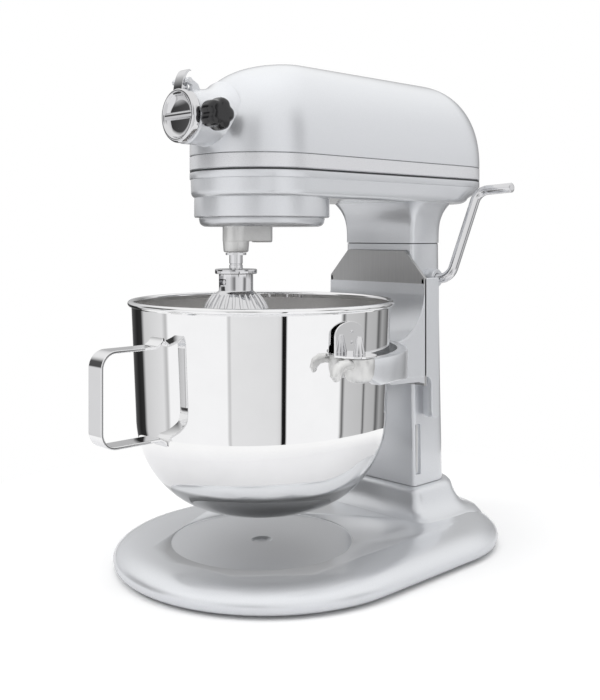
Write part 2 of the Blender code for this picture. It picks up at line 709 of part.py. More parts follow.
def arm_outline():
    """The web under the disc, from the centre boss to the agitator boss."""
    return [(-0.0085, 0.0), (-0.0106, -ECCENTRICITY), (0.0106, -ECCENTRICITY), (0.0085, 0.0)]


def transfer_place():
    reach = (CENTRE_TEETH + TRANSFER_TEETH) * GEAR_MODULE / 2
    across = WORM_WHEEL_TEETH * WORM_MODULE / 2 + WORM_RADIUS
    return -across, math.sqrt(reach ** 2 - across ** 2)


def make_centre_drive():
    shaft = turned([(CENTRE_SHAFT_RADIUS, 0.2725), (CENTRE_SHAFT_RADIUS, 0.3575)], 32)
    add("centre_shaft", shaft, "gear_steel")
    x, y = transfer_place()
    phase = math.atan2(y, x)
    wheel = spur_gear(gear_outline(CENTRE_TEETH, GEAR_MODULE, phase), GEAR_LOW_Z, GEAR_HIGH_Z)
    obj = add("centre_gear", wheel, "gear_steel")
    cut(obj, cylinder(CENTRE_SHAFT_RADIUS + GAP, 0.32, 0.35, 24))
    bevel = bevel_gear(CENTRE_BEVEL_TEETH, HUB_BEVEL_TEETH, -math.pi / 2, CENTRE_SHAFT_RADIUS + GAP, 0.0050)
    bmesh.ops.translate(bevel, verts=bevel.verts, vec=(0, 0, HUB_Z))
    add("centre_bevel_gear", bevel, "gear_steel")
    add("centre_bearing", tube(0.0130, CENTRE_SHAFT_RADIUS + GAP, 0.3088, 0.3150, 32), "gear_steel")


def make_transfer_gears():
    place = transfer_place()
    toward = math.atan2(-place[1], -place[0])
    shaft = cylinder(TRANSFER_SHAFT_RADIUS, GEARCASE_FLOOR_Z + 0.0005, 0.3840, 24, place)
    add("transfer_shaft", shaft, "gear_steel", (*place, 0))
    outline = gear_outline(TRANSFER_TEETH, GEAR_MODULE, toward + math.pi / TRANSFER_TEETH)
    pinion = spur_gear(outline, GEAR_LOW_Z, GEAR_HIGH_Z, place)
    obj = add("transfer_pinion", pinion, "gear_steel", (*place, 0))
    cut(obj, cylinder(TRANSFER_SHAFT_RADIUS + GAP, 0.32, 0.35, 20, place))
    lead = WORM_STARTS * math.pi * WORM_MODULE
    slope = 2 * math.pi * WORM_RADIUS / lead
    twist = 1 / (slope * WORM_WHEEL_TEETH * WORM_MODULE / 2)
    outline = gear_outline(WORM_WHEEL_TEETH, WORM_MODULE, 0.0)
    wheel = spur_gear(outline, MOTOR_Z - 0.004, MOTOR_Z + 0.004, place, twist)
    obj = add("worm_wheel", wheel, "bronze", (*place, 0))
    cut(obj, cylinder(TRANSFER_SHAFT_RADIUS + GAP, 0.35, 0.39, 20, place))


def make_agitator():
    pivot = (0, -ECCENTRICITY, 0)
    place = (0, -ECCENTRICITY)
    profile = [(AGITATOR_RADIUS - 0.0006, 0.2290), (AGITATOR_RADIUS, 0.2298), (AGITATOR_RADIUS, 0.3030)]
    shaft = turned(profile, 32, place)
    obj = add("agitator_shaft", shaft, "polished_steel", pivot)
    cut(obj, along_y(cylinder(0.0021, -0.06, 0.06, 12), (0, SHAFT_PIN_Z)))
    outline = gear_outline(PINION_TEETH, RING_MODULE, -math.pi / 2, fine=True)
    obj = add("planetary_pinion", spur_gear(outline, 0.2905, 0.3030, place), "gear_steel", pivot)
    cut(obj, cylinder(AGITATOR_RADIUS + GAP, 0.28, 0.32, 24, place))
    pin = along_y(cylinder(0.0018, -ECCENTRICITY - 0.0125, -ECCENTRICITY + 0.0125, 12), (0, SHAFT_PIN_Z))
    add("shaft_pin", pin, "polished_steel", pivot)
    washer = tube(0.0085, AGITATOR_RADIUS + 0.0002, 0.2578, 0.2596, 24, place)
    add("thrust_washer", washer, "polished_steel", pivot)


# Whip

def make_whip():
    pivot = (0, -ECCENTRICITY, 0)
    place = (0, -ECCENTRICITY)
    top = WHIP_COLLAR_TOP_Z
    profile = [(0.0060, top), (0.0172, top), (0.0172, top - 0.0038), (0.0140, top - 0.0042), (0.0140, 0.2290),
               (0.0165, 0.2272), (0.0262, WHIP_HUB_BOTTOM_Z + 0.0012), (0.0256, WHIP_HUB_BOTTOM_Z),
               (0.0236, WHIP_HUB_BOTTOM_Z + 0.0008), (0.0150, 0.2245), (0.0060, 0.2250)]
    obj = add("whip_hub", turned(profile, 32, place, closed=True), "satin_metal", pivot)
    cut(obj, along_y(cylinder(0.0026, -0.06, 0.06, 12), (0, SHAFT_PIN_Z)))
    legs = bmesh.new()
    for k in range(WHIP_LEGS):
        angle = 2 * math.pi * (k + 0.5) / WHIP_LEGS
        leg = swept(leg_path(angle), WIRE_RADIUS, 5)
        shift = Matrix.Translation((0, -ECCENTRICITY, 0))
        bmesh.ops.transform(leg, matrix=shift, verts=leg.verts)
        part = bpy.data.meshes.new("leg")
        face_outwards(leg)
        leg.to_mesh(part)
        leg.free()
        legs.from_mesh(part)
        bpy.data.meshes.remove(part)
    obj = add("whip_wires", legs, "polished_steel", pivot)
    join(obj, turned([(0.0195, 0.2160), (0.0195, 0.2178), (0.0100, 0.2190)], 24, place))
    low = WHIP_BOTTOM_Z
    button = [(0.0030, low - 0.0010), (0.0052, low), (0.0052, low + 0.0016), (0.0030, low + 0.0028)]
    join(obj, turned(button, 16, place))


def leg_path(angle, steps=9):
    """One leg of a balloon whip, from the plate in the hub down and in to the crossing at the bottom."""
    top = 0.2172
    drop = top - WHIP_BOTTOM_Z - 0.0008
    path = []
    for k in range(steps + 1):
        t = k / steps
        z = top - drop * math.sin(math.pi / 2 * t) ** 1.15 if t > 0 else top
        depth = (top - z) / drop
        swell = math.sin(math.pi * min(depth, 1) ** 1.35) ** 0.72 if 0 < depth < 1 else 0.0
        r = 0.0172 * (1 - depth) + 0.0040 * depth + (WHIP_RADIUS - 0.0120) * swell
        path.append((r * math.cos(angle), r * math.sin(angle), z))
    return path


# Bowl

def bowl_radius(z):
    """The outside radius of the bowl below its rim."""
    if z >= BOWL_WAIST_Z:
        share = (z - BOWL_WAIST_Z) / (BOWL_RIM_Z - BOWL_WAIST_Z)
        return BOWL_WAIST_RADIUS + (BOWL_TOP_RADIUS - BOWL_WAIST_RADIUS) * share
    depth = (BOWL_WAIST_Z - z) / (BOWL_WAIST_Z - BOWL_BOTTOM_Z)
    reach = (1 - min(depth, 1) ** 2.0) ** 0.5
    return BOWL_FOOT_RADIUS + (BOWL_WAIST_RADIUS - BOWL_FOOT_RADIUS) * reach


def make_bowl():
    outside = []
    levels = 6
    for k in range(levels + 1):
        a = math.pi / 2 * k / levels
        z = BOWL_WAIST_Z - (BOWL_WAIST_Z - BOWL_BOTTOM_Z) * math.cos(a)
        outside.append((bowl_radius(z), z))
    outside.append((bowl_radius(0.1700), 0.1700))
    outside.append((bowl_radius(0.2150), 0.2150))
    bead = 0.0024
    rim = []
    middle = (BOWL_RIM_RADIUS - bead, BOWL_RIM_Z - bead)
    for a in (-50, 5, 60, 115, 170):
        turn = math.radians(a)
        rim.append((middle[0] + bead * math.cos(turn), middle[1] + bead * math.sin(turn)))
    inside = [(r - BOWL_WALL, z + (BOWL_WALL if k == 0 else 0.0004)) for k, (r, z) in enumerate(outside)]
    inside = list(reversed(inside))
    profile = outside + rim + inside
    add("bowl", turned(profile, 40), "polished_steel")


def make_handle():
    """A strap bent round two corners, welded to the front of the bowl at both ends."""
    top = bowl_radius(HANDLE_TOP_Z + 0.004) + GAP
    low = bowl_radius(HANDLE_BOTTOM_Z - 0.006) + GAP
    corners = [(0, -top, HANDLE_TOP_Z + 0.0060), (0, -top - 0.0060, HANDLE_TOP_Z),
               (0, -HANDLE_REACH, HANDLE_TOP_Z), (0, -HANDLE_REACH, HANDLE_BOTTOM_Z),
               (0, -low - 0.0060, HANDLE_BOTTOM_Z), (0, -low, HANDLE_BOTTOM_Z - 0.0055)]
    outer = strap_points(corners, 0.0)
    inner = strap_points(corners, HANDLE_THICKNESS)
    outline = [(p.y, p.z) for p in outer] + [(p.y, p.z) for p in reversed(inner)]
    add("bowl_handle", side_prism(outline, -HANDLE_HALF_WIDTH, HANDLE_HALF_WIDTH), "polished_steel")


def strap_points(corners, inset):
    """The bent strap's outer line, or the same line moved inwards by its thickness."""
    first, second, third, fourth, fifth, last = [Vector(c) for c in corners]
    big = 0.0130 - inset
    shift = Vector((0, inset, 0))
    down = Vector((0, 0, -inset))
    line = [first + down * 1.4, second + down, third + shift + down, fourth + shift - down, fifth - down,
            last - down * 1.4]
    path = rounded_path(line[1:5], big, 4)
    return [line[0]] + path + [line[5]]


def make_bowl_brackets():
    """Each side: an arched plate on the wall and a flat tab over the ear, with a hole for the pin."""
    for side, name in ((-1, "bowl_bracket_left"), (1, "bowl_bracket_right")):
        wall = bowl_radius(0.200) + 0.0006
        half = 0.0160
        floor = ARM_TOP_Z + 0.0026
        arch = [(EAR_Y - half, floor), (EAR_Y + half, floor), (EAR_Y + half, 0.1990)]
        for k in range(1, 8):
            a = math.pi * k / 8
            arch.append((EAR_Y + half * math.cos(a), 0.1990 + 0.0105 * math.sin(a)))
        arch.append((EAR_Y - half, 0.1990))
        plate = side_prism(arch, wall, wall + 0.0015)
        tab = [(wall + 0.0005, EAR_Y - half), (EAR_X + 0.0070, EAR_Y - half + 0.003),
               (EAR_X + 0.0115, EAR_Y - half + 0.0075), (EAR_X + 0.0115, EAR_Y + half - 0.0075),
               (EAR_X + 0.0070, EAR_Y + half - 0.003), (wall + 0.0005, EAR_Y + half)]
        flat = prism(tab, floor, floor + 0.0018)
        hole = cylinder(PIN_RADIUS + 0.0006, floor - 0.01, floor + 0.01, 20, (EAR_X, EAR_Y))
        if side < 0:
            plate, flat, hole = mirrored(plate), mirrored(flat), mirrored(hole)
        obj = add(name, plate, "polished_steel")
        join(obj, flat)
        cut(obj, hole)


# Yoke and lift

TONGUE_TOP_Z = 0.2040

def yoke_plan():
    half = YOKE_HALF_WIDTH
    inner = COLUMN_HALF_WIDTH + 0.0034
    back = LEVER_AXIS_Y - LEVER_RADIUS - 0.0010
    outer = [(half - 0.0030, YOKE_FRONT), (half, YOKE_FRONT + 0.0030), (half, YOKE_FRONT + 0.0102),
             (half - 0.0042, YOKE_FRONT + 0.0182),
             (inner + 0.0012, back), (inner, back)]
    front = [(inner, COLUMN_FRONT - 0.0005)]
    right = outer + front
    left = [(-x, y) for x, y in reversed(right)]
    return right + left


def arm_section(angle):
    """The arm cut at an angle round the bowl; its underside rises towards the ears and tucks into them."""
    side = min(angle, 180 - angle)
    rise = ARM_END_RISE * min(max((75 - side) / 60, 0), 1) + 0.0100 * max(1 - (side + 2) / 8, 0)
    low = ARM_BOTTOM_Z + rise
    edge = 0.0012
    inner = ARM_INNER_RADIUS
    outer = ARM_INNER_RADIUS + ARM_THICKNESS
    section = [(inner, low), (outer - edge, low), (outer, low + edge), (outer, ARM_TOP_Z - edge),
               (outer - edge, ARM_TOP_Z), (inner, ARM_TOP_Z)]
    a = math.radians(angle)
    return [(r * math.cos(a), r * math.sin(a), z) for r, z in section]


def make_yoke():
    obj = add("bowl_yoke", prism(yoke_plan(), YOKE_BOTTOM_Z, YOKE_TOP_Z), "silver_paint")
    cut(obj, box(-0.0505, 0.0505, YOKE_FRONT - 0.0138, YOKE_FRONT + 0.0082, YOKE_BOTTOM_Z - 0.01,
                 YOKE_PLATE_BOTTOM_Z))
    for side in (-1, 1):
        corner = [(YOKE_HALF_WIDTH + 0.004, 0.2352), (YOKE_HALF_WIDTH + 0.004, 0.2700), (0.0310, 0.2700)]
        wedge = loft([[(side * x, y, z) for x, z in corner]
                      for y in (YOKE_FRONT - 0.014, YOKE_FRONT + 0.036)])
        cut(obj, wedge)
    edge = YOKE_HALF_WIDTH - 0.0006
    join(obj, box(-edge, edge, ARM_INNER_RADIUS - 0.0140, YOKE_FRONT + 0.0020, ARM_BOTTOM_Z - 0.0060,
                  ARM_TOP_Z - 0.0030))
    cut(obj, cylinder(ARM_INNER_RADIUS, 0.12, 0.20, 48))
    join(obj, loft([arm_section(-2 + 184 * k / 24) for k in range(25)]))
    for side in (-1, 1):
        place = (side * EAR_X, EAR_Y)
        cup = [(0.0060, 0.1643), (EAR_RADIUS - 0.0030, 0.1662), (EAR_RADIUS - 0.0006, 0.1710),
               (EAR_RADIUS, 0.1780), (EAR_RADIUS - 0.0004, EAR_TOP_Z)]
        join(obj, turned(cup, 24, place))
        lug = [(EAR_Y - 0.0100, ARM_TOP_Z + 0.0010), (EAR_Y - 0.0260, ARM_TOP_Z + 0.0014),
               (EAR_Y - 0.0320, 0.1780), (EAR_Y - 0.0310, 0.1700), (EAR_Y - 0.0240, 0.1668),
               (EAR_Y - 0.0190, 0.1710), (EAR_Y - 0.0185, 0.1755), (EAR_Y - 0.0100, 0.1760)]
        hook = side_prism(lug, EAR_X - 0.0035, EAR_X + 0.0080)
        join(obj, mirrored(hook) if side < 0 else hook)
    cut(obj, cylinder(ARM_INNER_RADIUS - 0.0012, 0.12, 0.20, 48))
    join(obj, box(-0.0078, 0.0078, COLUMN_FRONT - 0.003, COLUMN_FRONT + 0.0123, 0.1860, TONGUE_TOP_Z))
    for side in (-1, 1):
        cut(obj, cylinder(PIN_RADIUS - 0.0012, 0.1720, 0.20, 20, (side * EAR_X, EAR_Y)))


def make_locating_pins():
    for side, name in ((-1, "locating_pin_left"), (1, "locating_pin_right")):
        place = (side * EAR_X, EAR_Y)
        seat = EAR_TOP_Z + GAP
        profile = [(PIN_RADIUS - 0.0015, 0.1730), (PIN_RADIUS - 0.0015, seat - 0.0001), (PIN_RADIUS, seat),
                   (PIN_RADIUS, seat + 0.0040), (0.0022, PIN_TOP_Z - 0.0008), (0.0014, PIN_TOP_Z)]
        add(name, turned(profile, 20, place), "chrome")


def make_rear_latch():
    """The bowl's rear pin and the spring strip on the yoke that holds it down."""
    start = bowl_radius(LATCH_Z) + GAP
    end = ARM_INNER_RADIUS + 0.0095
    add("bowl_rear_pin", along_y(cylinder(0.0028, start, end, 16), (0, LATCH_Z)), "polished_steel")
    seat = ARM_TOP_Z + 0.0006
    r = ARM_INNER_RADIUS
    strip = [(r + 0.0250, seat), (r + 0.0250, seat + 0.0010), (r + 0.0120, seat + 0.0010),
             (r + 0.0120, LATCH_Z + 0.0040), (r + 0.0040, LATCH_Z + 0.0058), (r + 0.0038, LATCH_Z + 0.0048),
             (r + 0.0110, LATCH_Z + 0.0030), (r + 0.0110, seat)]
    add("rear_latch_spring", side_prism(strip, -0.0070, 0.0070), "chrome")


def make_lift():
    pivot = (0, LEVER_AXIS_Y, LEVER_AXIS_Z)
    corners = [(-0.0300, LEVER_AXIS_Y, LEVER_AXIS_Z), (LEVER_ARM_X, LEVER_AXIS_Y, LEVER_AXIS_Z),
               (LEVER_ARM_X, LEVER_ELBOW_Y, LEVER_ELBOW_Z),
               (LEVER_TIP_X, LEVER_ELBOW_Y, LEVER_ELBOW_Z + 0.0020)]
    bar = swept(rounded_path(corners, 0.0095, 5), LEVER_RADIUS, 16)
    add("lift_lever", bar, "chrome", pivot)
    angle = CRANK_START
    far = (LEVER_AXIS_Y + CRANK_LENGTH * math.cos(angle), LEVER_AXIS_Z + CRANK_LENGTH * math.sin(angle))
    crank = along_x(cylinder(0.0080, 0.0110, 0.0170, 24), (LEVER_AXIS_Y, LEVER_AXIS_Z))
    obj = add("lift_crank", crank, "gear_steel", pivot)
    across = Vector((0, math.sin(angle), -math.cos(angle))) * 0.0040
    web = [(LEVER_AXIS_Y + across.y, LEVER_AXIS_Z + across.z), (far[0] + across.y, far[1] + across.z),
           (far[0] - across.y, far[1] - across.z), (LEVER_AXIS_Y - across.y, LEVER_AXIS_Z - across.z)]
    join(obj, side_prism(web, 0.0112, 0.0168))
    join(obj, along_x(cylinder(0.0046, 0.0112, 0.0168, 16), far))
    cut(obj, along_x(cylinder(LEVER_RADIUS + 0.0002, 0.0, 0.03, 24), (LEVER_AXIS_Y, LEVER_AXIS_Z)))
    rod = cylinder(0.0026, TONGUE_TOP_Z + GAP, 0.2560, 16, (0, COLUMN_FRONT + 0.0093))
    add("lift_rod", rod, "gear_steel")


# Attachment hub

def make_hub():
    pivot = (0, 0, HUB_Z)
    shaft = along_y(turned([(0.0090, -0.0520), (0.0090, -0.0345), (0.0062, -0.0335), (0.0062, -0.0290),
                            (0.0035, -0.0285), (0.0035, -0.0040)], 24), (0, HUB_Z))
    obj = add("hub_drive_shaft", shaft, "gear_steel", pivot)
    socket = box(-HUB_SOCKET, HUB_SOCKET, -0.0600, -0.0370, HUB_Z - HUB_SOCKET, HUB_Z + HUB_SOCKET)
    cut(obj, socket)
    phase = math.pi / 2 + math.pi / HUB_BEVEL_TEETH
    bevel = bevel_gear(HUB_BEVEL_TEETH, CENTRE_BEVEL_TEETH, phase, 0.0035 + GAP, 0.0035)
    turn = Matrix(((1, 0, 0, 0), (0, 0, 1, 0), (0, -1, 0, HUB_Z), (0, 0, 0, 1)))
    bmesh.ops.transform(bevel, matrix=turn, verts=bevel.verts)
    add("hub_bevel_gear", bevel, "gear_steel", pivot)


def make_hub_cap():
    pivot = (0, HINGE_Y, HINGE_Z)
    front = CAP_FRONT
    back = HUB_FRONT - GAP
    profile = [(0.0100, front + 0.0040), (0.0178, front + 0.0040), (0.0182, front),
               (CAP_RADIUS - 0.0011, front + 0.0006), (CAP_RADIUS, front + 0.0022), (CAP_RADIUS, back), (0.0100, back)]
    body = along_y(turned(profile, 32), (0, HUB_Z))
    obj = add("hub_cap", body, "chrome", pivot)
    grip = box(-0.0172, 0.0172, front + 0.0004, front + 0.0050, HUB_Z - 0.0030, HUB_Z + 0.0030)
    join(obj, grip)
    lug = [(back, HUB_Z + 0.0150), (front + 0.0015, HUB_Z + 0.0150), (front + 0.0018, HUB_Z + 0.0215),
           (HINGE_Y - 0.0026, HINGE_Z - 0.0010), (HINGE_Y - 0.0022, HINGE_Z + 0.0022),
           (HINGE_Y + 0.0006, HINGE_Z + 0.0075), (HINGE_Y + 0.0048, HINGE_Z + 0.0100),
           (HINGE_Y + 0.0052, HINGE_Z + 0.0088), (HINGE_Y + 0.0026, HINGE_Z + 0.0060),
           (HINGE_Y + 0.0020, HINGE_Z + 0.0024), (HINGE_Y + 0.0022, HINGE_Z - 0.0016), (back, HUB_Z + 0.0215)]
    join(obj, side_prism(lug, -0.0056, 0.0056))
    cut(obj, along_x(cylinder(HINGE_RADIUS + SHAFT_CLEARANCE, -0.02, 0.02, 20), (HINGE_Y, HINGE_Z)))
    pin = along_x(cylinder(HINGE_RADIUS, -0.0104, 0.0104, 20), (HINGE_Y, HINGE_Z))
    add("cap_hinge_pin", pin, "chrome")


def hinge_lug(x0, x1):
    """One ear of the cap's hinge, standing on the barrel beside the cap's own lug."""
    ear = [(HUB_FRONT + 0.0002, HUB_Z + 0.0180), (HUB_FRONT + 0.0080, HUB_Z + 0.0180),
           (HUB_FRONT + 0.0060, HUB_Z + 0.0238), (HINGE_Y + 0.0024, HINGE_Z + 0.0014),
           (HINGE_Y + 0.0008, HINGE_Z + 0.0026), (HINGE_Y - 0.0016, HINGE_Z + 0.0022),
           (HINGE_Y - 0.0024, HINGE_Z), (HINGE_Y - 0.0014, HINGE_Z - 0.0022),
           (HUB_FRONT + 0.0002, HINGE_Z - 0.0034)]
    return side_prism(ear, x0, x1)


def make_hub_knob():
    pivot = (0, KNOB_Y, KNOB_Z)
    inner = HUB_RADIUS + 0.0012
    rings = []
    levels = ((0.0, 0.80), (0.0020, 0.96), (0.0060, 1.0), (0.0105, 0.97), (0.0145, 0.80), (0.0160, 0.55))
    for height, size in levels:
        ring = []
        for i in range(30):
            a = 2 * math.pi * i / 30
            r = KNOB_RADIUS * size * (1 + 0.09 * math.cos(5 * a))
            ring.append((r * math.cos(a), r * math.sin(a), inner + height))
        rings.append(ring)
    obj = add("hub_knob", along_x(loft(rings), (KNOB_Y, KNOB_Z)), "black_plastic", pivot)
    cut(obj, along_x(cylinder(KNOB_BORE, 0.010, inner + 0.0090, 16), (KNOB_Y, KNOB_Z)))
    profile = [(0.0018, HUB_BORE + 0.0008), (KNOB_BORE - GAP, HUB_BORE + 0.0018), (KNOB_BORE - GAP, inner + 0.0085)]
    screw = along_x(turned(profile, 16), (KNOB_Y, KNOB_Z))
    add("hub_knob_screw", screw, "chrome", pivot)


# Motor and controls

def make_motor():
    pivot = (0, 0, MOTOR_Z)
    wheel_y = transfer_place()[1]
    shaft = along_y(cylinder(MOTOR_SHAFT_RADIUS, 0.0170, 0.2100, 20), (0, MOTOR_Z))
    obj = add("armature_shaft", shaft, "gear_steel", pivot)
    phase = -math.pi / 2 - math.pi / WORM_STARTS
    thread = worm(wheel_y, wheel_y - 0.0080, wheel_y + 0.0080, phase)
    bmesh.ops.translate(thread, verts=thread.verts, vec=(0, 0, MOTOR_Z))
    join(obj, thread)
    bore = MOTOR_SHAFT_RADIUS + GAP
    core = along_y(tube(ARMATURE_RADIUS, bore, 0.0900, 0.1450, 32), (0, MOTOR_Z))
    add("armature_core", core, "copper", pivot)
    ring = along_y(tube(0.0120, bore, 0.1520, 0.1680, 28), (0, MOTOR_Z))
    add("commutator", ring, "copper", pivot)
    fan = [(bore, 0.1800), (0.0080, 0.1800), (0.0080, 0.1880), (0.0300, 0.1880), (0.0300, 0.1896),
           (bore, 0.1896)]
    obj = add("cooling_fan", along_y(turned(fan, 32, closed=True), (0, MOTOR_Z)), "grey_plastic", pivot)
    for k in range(8):
        blade = box(0.0070, 0.0290, -0.0006, 0.0006, 0.1805, 0.1885)
        spin = Matrix.Rotation(2 * math.pi * k / 8, 4, "Z")
        bmesh.ops.transform(blade, matrix=spin, verts=blade.verts)
        join(obj, along_y(blade, (0, MOTOR_Z)))
    field = along_y(tube(STATOR_RADIUS, ARMATURE_RADIUS + 0.0012, 0.0880, 0.1470, 32), (0, MOTOR_Z))
    add("stator", field, "gear_steel")


def bearing_bracket(name, y):
    plate = loft([[(x, y + dy, z) for x, z in bracket_outline()] for dy in (0, BRACKET_THICKNESS)])
    obj = add(name, plate, "satin_metal")
    cut(obj, along_y(cylinder(MOTOR_SHAFT_RADIUS + SHAFT_CLEARANCE, y - 0.01, y + 0.02, 20), (0, MOTOR_Z)))


def bracket_outline():
    half = HEAD_HALF_WIDTH - HEAD_WALL - 0.0030
    return [(-half, 0.3290), (half, 0.3290), (half, 0.3600), (half - 0.006, 0.3800), (half - 0.022, 0.4000),
            (-half + 0.022, 0.4000), (-half + 0.006, 0.3800), (-half, 0.3600)]


def make_brushes():
    for side, name in ((-1, "brush_left"), (1, "brush_right")):
        brush = along_x(turned([(0.0042, 0.0128), (0.0042, 0.0350)], 16), (0.1600, MOTOR_Z))
        add(name, mirrored(brush) if side < 0 else brush, "grey_plastic")


def make_speed_control():
    stem = box(-HEAD_HALF_WIDTH - 0.0040, -HEAD_HALF_WIDTH + 0.0160, SPEED_FRONT - 0.0020,
               SPEED_FRONT + 0.0020, SPEED_Z - 0.0016, SPEED_Z + 0.0016)
    obj = add("speed_lever", stem, "black_plastic", (0, SPEED_FRONT, SPEED_Z))
    knob = [(SPEED_FRONT - 0.0050, SPEED_Z - 0.0045), (SPEED_FRONT + 0.0050, SPEED_Z - 0.0045),
            (SPEED_FRONT + 0.0062, SPEED_Z), (SPEED_FRONT + 0.0050, SPEED_Z + 0.0045),
            (SPEED_FRONT - 0.0050, SPEED_Z + 0.0045), (SPEED_FRONT - 0.0062, SPEED_Z)]
    join(obj, side_prism(knob, -HEAD_HALF_WIDTH - 0.0120, -HEAD_HALF_WIDTH - 0.0025))
    board = box(-0.0340, 0.0340, 0.2130, 0.2160, 0.3300, 0.3560)
    add("speed_control_board", board, "grey_plastic")


make_base()
make_feet()
make_column_bolts()
make_column()
make_gearcase()
make_upper_housing()
make_trim_band()
make_housing_screws()
make_ring_gear()
make_planetary()
make_centre_drive()
make_transfer_gears()
make_agitator()
make_whip()
make_bowl()
make_handle()
make_bowl_brackets()
make_yoke()
make_locating_pins()
make_rear_latch()
make_lift()
make_hub()
make_hub_cap()
make_hub_knob()
make_motor()
bearing_bracket("front_bearing_bracket", 0.0600)
bearing_bracket("rear_bearing_bracket", REAR_BRACKET_Y)
make_brushes()
make_speed_control()
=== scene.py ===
from math import cos, pi, radians, sin, sqrt, tan

import bmesh
import bpy
from mathutils import Matrix, Vector


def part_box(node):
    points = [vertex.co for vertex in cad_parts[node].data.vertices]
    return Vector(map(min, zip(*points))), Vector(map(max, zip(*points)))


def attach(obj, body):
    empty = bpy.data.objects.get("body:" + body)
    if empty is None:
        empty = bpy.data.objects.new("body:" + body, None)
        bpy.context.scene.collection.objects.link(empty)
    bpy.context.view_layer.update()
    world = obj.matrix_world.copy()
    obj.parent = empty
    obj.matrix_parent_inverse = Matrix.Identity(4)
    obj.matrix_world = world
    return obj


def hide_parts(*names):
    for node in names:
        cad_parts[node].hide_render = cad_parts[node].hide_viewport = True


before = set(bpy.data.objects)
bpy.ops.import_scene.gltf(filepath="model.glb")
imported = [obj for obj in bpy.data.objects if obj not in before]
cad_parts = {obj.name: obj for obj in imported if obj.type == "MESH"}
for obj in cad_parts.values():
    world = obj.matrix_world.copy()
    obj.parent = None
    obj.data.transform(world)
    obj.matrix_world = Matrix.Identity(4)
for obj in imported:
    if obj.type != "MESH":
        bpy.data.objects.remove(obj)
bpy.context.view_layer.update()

print("frame loaded")

# everything is drawn from the bowl's own axis, then moved onto it
bowlLow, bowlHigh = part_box("bowl")
axisY = (bowlLow.y + bowlHigh.y) / 2
rimRadius = (bowlHigh.x - bowlLow.x) / 2


def fromAxis(node):
    low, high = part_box(node)
    shift = Vector((0, axisY, 0))
    return low - shift, high - shift


# camera, light and floor

view = dict(place=(0.59364, -0.58591, 0.27528), turn=45.895, lens=48.857, shiftX=0.0027, shiftY=-0.1663)


def show(thing):
    bpy.context.scene.collection.objects.link(thing)


def makeCamera():
    cam = bpy.data.cameras.new("viewCamera")
    cam.lens = view["lens"]
    cam.sensor_width = 36
    cam.shift_x = view["shiftX"]
    cam.shift_y = view["shiftY"]
    cam.clip_start = 0.01
    eye = bpy.data.objects.new("viewCamera", cam)
    eye.location = view["place"]
    eye.rotation_euler = (pi / 2, 0, radians(view["turn"]))
    show(eye)
    bpy.context.scene.camera = eye


# the studio round the mixer: white panels with dark gaps, by degrees from the front right corner
studio = dict(front=-44.1, level=0.96, top=0.98, lowToHigh=(-0.02, 0.05), highToTop=(0.34, 0.60),
              low=((-180, 0.45), (-156, 0.08), (-140, 0.02), (-128, 0.03), (-122, 0.66), (-94, 0.80),
                   (-89, 0.50), (-86, 1.0),
                   (-28, 1.0), (-26, 0.52), (-24, 0.84), (15, 0.80), (18.5, 0.72), (19.4, 0.01),
                   (22.6, 0.01), (23.6, 1.0),
                   (74, 1.0), (77, 0.06), (80, 0.62), (102, 0.56), (104, 0.10), (107, 0.52), (122, 0.48),
                   (126, 0.10),
                   (134, 0.40), (150, 0.12), (158, 0.45)),
              high=((-180, 0.45), (-150, 0.62), (-124, 0.70), (-112, 0.10), (-80, 0.04), (-74, 0.80),
                    (-40, 0.92), (-12, 0.30),
                    (-4, 0.26), (4, 0.85), (46, 0.95), (60, 0.22), (70, 0.30), (80, 0.90), (120, 0.80),
                    (150, 0.25)))


def node(tree, kind, **values):
    made = tree.nodes.new(kind)
    for key, value in values.items():
        setattr(made, key, value)
    return made


def panels(tree, around, stops):
    ramp = node(tree, "ShaderNodeValToRGB")
    made = ramp.color_ramp.elements
    for place, grey in stops:
        stop = made.new(place / 360 + 0.5)
        stop.color = (grey, grey, grey * 1.01, 1)
    made.remove(made[0])
    made[len(made) - 1].color = (*[stops[0][1]] * 3, 1)
    tree.links.new(around, ramp.inputs[0])
    return ramp.outputs[0]


def fade(tree, height, below, above, start, end):
    # one set of panels below a height and another above it, or the ceiling where none is given
    share = node(tree, "ShaderNodeMapRange")
    share.inputs["From Min"].default_value = start
    share.inputs["From Max"].default_value = end
    tree.links.new(height, share.inputs["Value"])
    mix = node(tree, "ShaderNodeMix", data_type="RGBA")
    tree.links.new(share.outputs[0], mix.inputs[0])
    tree.links.new(below, mix.inputs[6])
    if above is None:
        mix.inputs[7].default_value = (*[studio["top"]] * 3, 1)
    else:
        tree.links.new(above, mix.inputs[7])
    return mix.outputs[2]


